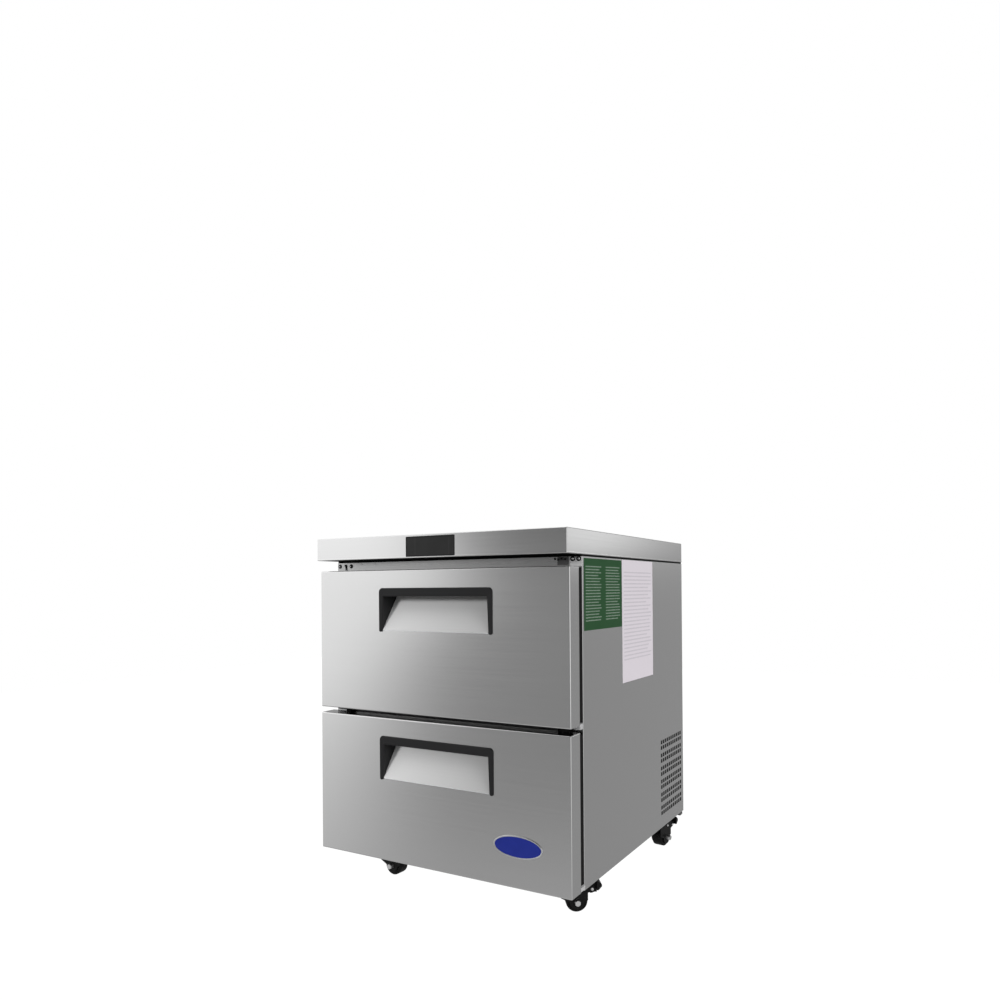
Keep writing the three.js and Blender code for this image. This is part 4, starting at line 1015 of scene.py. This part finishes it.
# levels of the sky; edge and reach place the soft box's border and its softness in degrees
studio = {"plain": 0.31, "low": 0.325, "side": 0.385, "bright": 1.27, "ceiling": 0.10, "edge": 34.7,
          "reach": 3.5, "patch": 155.5, "floorHalf": 5, "floorDrop": 0.0006,
          "floorGlow": 1.08, "floorShare": 0.93}
# smooth steps over degrees of elevation or azimuth: start, end and amount
skyRise = {"edgeOver": (1.5, 4, 1.8), "edgeUnder": (-2, 1, 0.9), "boxEnd": (95, 140, 1),
           "rightStart": (28, 50, 1), "rightEnd": (88, 118, 1), "bright": (1.5, 4, 0.2),
           "low": (1, 4, 0.12), "behind": (95, 150, 1), "patchSide": (0.5, 7.3, 1),
           "patchFoot": (1.5, 3.5, 1), "patchTop": (14, 30, 1), "ceiling": (18, 60, 1),
           "ceilingLeft": (42, 68, 1.5)}
# straight slopes over degrees below the horizon: start, end and amount in a degree
skySlope = {"edgeNear": (0, 6, 0.75), "edgeFar": (6, 28, 0.1), "reach": (0, 28, 0.17),
            "brightNear": (6, 11, 0.052), "brightFar": (11, 28, 0.03), "low": (14, 28, 0.02)}
# turn is measured from the front towards the left
lamps = {
    "frontLamp": {"energy": 2.3, "width": 12, "rise": 12, "turn": 20},
    "sideLamp": {"energy": 1.9, "width": 40, "rise": 22, "turn": -68},
}


def lightSky():
    # seen directly the world is white; metal sees a soft box to the left of the front and greys elsewhere
    world = bpy.data.worlds.new("studio")
    bpy.context.scene.world = world
    sky = Finish(world)
    x, y, z = sky.split(sky.node("ShaderNodeTexCoord", output="Generated"))
    toDegrees = 180 / math.pi
    azimuth = x.maths("ARCTAN2", 0 - x, 0 - y) * toDegrees
    elevation = x.maths("ARCSINE", z) * toDegrees

    def rise(value, key):
        start, end, amount = skyRise[key]
        return value.rise(start, end) * amount

    def slope(key):
        start, end, amount = skySlope[key]
        return (0 - elevation - start).largest(0.0).smallest(end - start) * amount

    edge = studio["edge"] + slope("edgeNear") + slope("edgeFar")
    edge = edge + rise(elevation, "edgeOver") - rise(elevation, "edgeUnder")
    reach = studio["reach"] + slope("reach")
    box = ((azimuth - edge) / reach).rise(-1.0, 1.0) * (1 - rise(azimuth, "boxEnd"))
    box = box.largest(rise(0 - azimuth, "rightStart") * (1 - rise(0 - azimuth, "rightEnd")))
    bright = studio["bright"] + rise(elevation, "bright") - slope("brightNear") - slope("brightFar")
    low = studio["low"] + slope("low") - rise(elevation, "low")
    behind = rise(abs(azimuth), "behind")
    base = low * (1 - behind) + studio["side"] * behind
    patch = (1 - rise(abs(azimuth + studio["patch"]), "patchSide")) * rise(elevation, "patchFoot")
    patch = patch * (1 - rise(elevation, "patchTop"))
    above = rise(elevation, "ceiling")
    seen = base + box * (bright - base) + patch
    seen = seen * (1 - above) + above * (studio["ceiling"] + rise(azimuth, "ceilingLeft"))
    white = sky.ray("Camera").largest(sky.ray("Transmission"))
    glossy = sky.ray("Glossy")
    level = white + (1 - white) * (glossy * seen + (1 - glossy) * studio["plain"])
    backdrop = sky.node("ShaderNodeBackground", None, {0: grey(1.0), 1: level})
    sky.node("ShaderNodeOutputWorld", None, {0: backdrop})
    world.cycles.sampling_method = "NONE"


def hangLamp(name, energy, width, rise, turn):
    # a soft lamp for the matt surfaces
    data = bpy.data.lights.new(name, "SUN")
    data.energy = energy
    data.angle = math.radians(width)
    lamp = addObject(name, data)
    lamp.rotation_euler = (math.radians(90 - rise), 0, math.radians(-turn))
    lamp.visible_glossy = False


def layFloor():
    # the floor is white to the camera, keeps a faint shadow, and lets metal see the studio past it
    half, low = studio["floorHalf"], -studio["floorDrop"]
    mesh = bpy.data.meshes.new("floor")
    corners = [(-half, -half, low), (half, -half, low), (half, half, low), (-half, half, low)]
    mesh.from_pydata(corners, [], [(0, 1, 2, 3)])
    floor = addObject("floor", mesh)
    pale = startFinish("paleFloor")
    glow = pale.node("ShaderNodeEmission", None, {0: grey(1.0), 1: studio["floorGlow"]})
    matt = pale.node("ShaderNodeBsdfDiffuse", None, {0: grey(1.0)})
    clear = pale.node("ShaderNodeBsdfTransparent")
    glowing = pale.ray("Camera") * studio["floorShare"]
    seen = pale.node("ShaderNodeMixShader", None, {0: glowing, 1: matt, 2: glow})
    shown = pale.node("ShaderNodeMixShader", None, {0: pale.ray("Glossy"), 1: seen, 2: clear})
    pale.node("ShaderNodeOutputMaterial", None, {0: shown})
    mesh.materials.append(pale.owner)


lightSky()
for name, lamp in lamps.items():
    hangLamp(name, **lamp)
layFloor()
bpy.context.scene.view_settings.view_transform = "Standard"
print("studio lit")
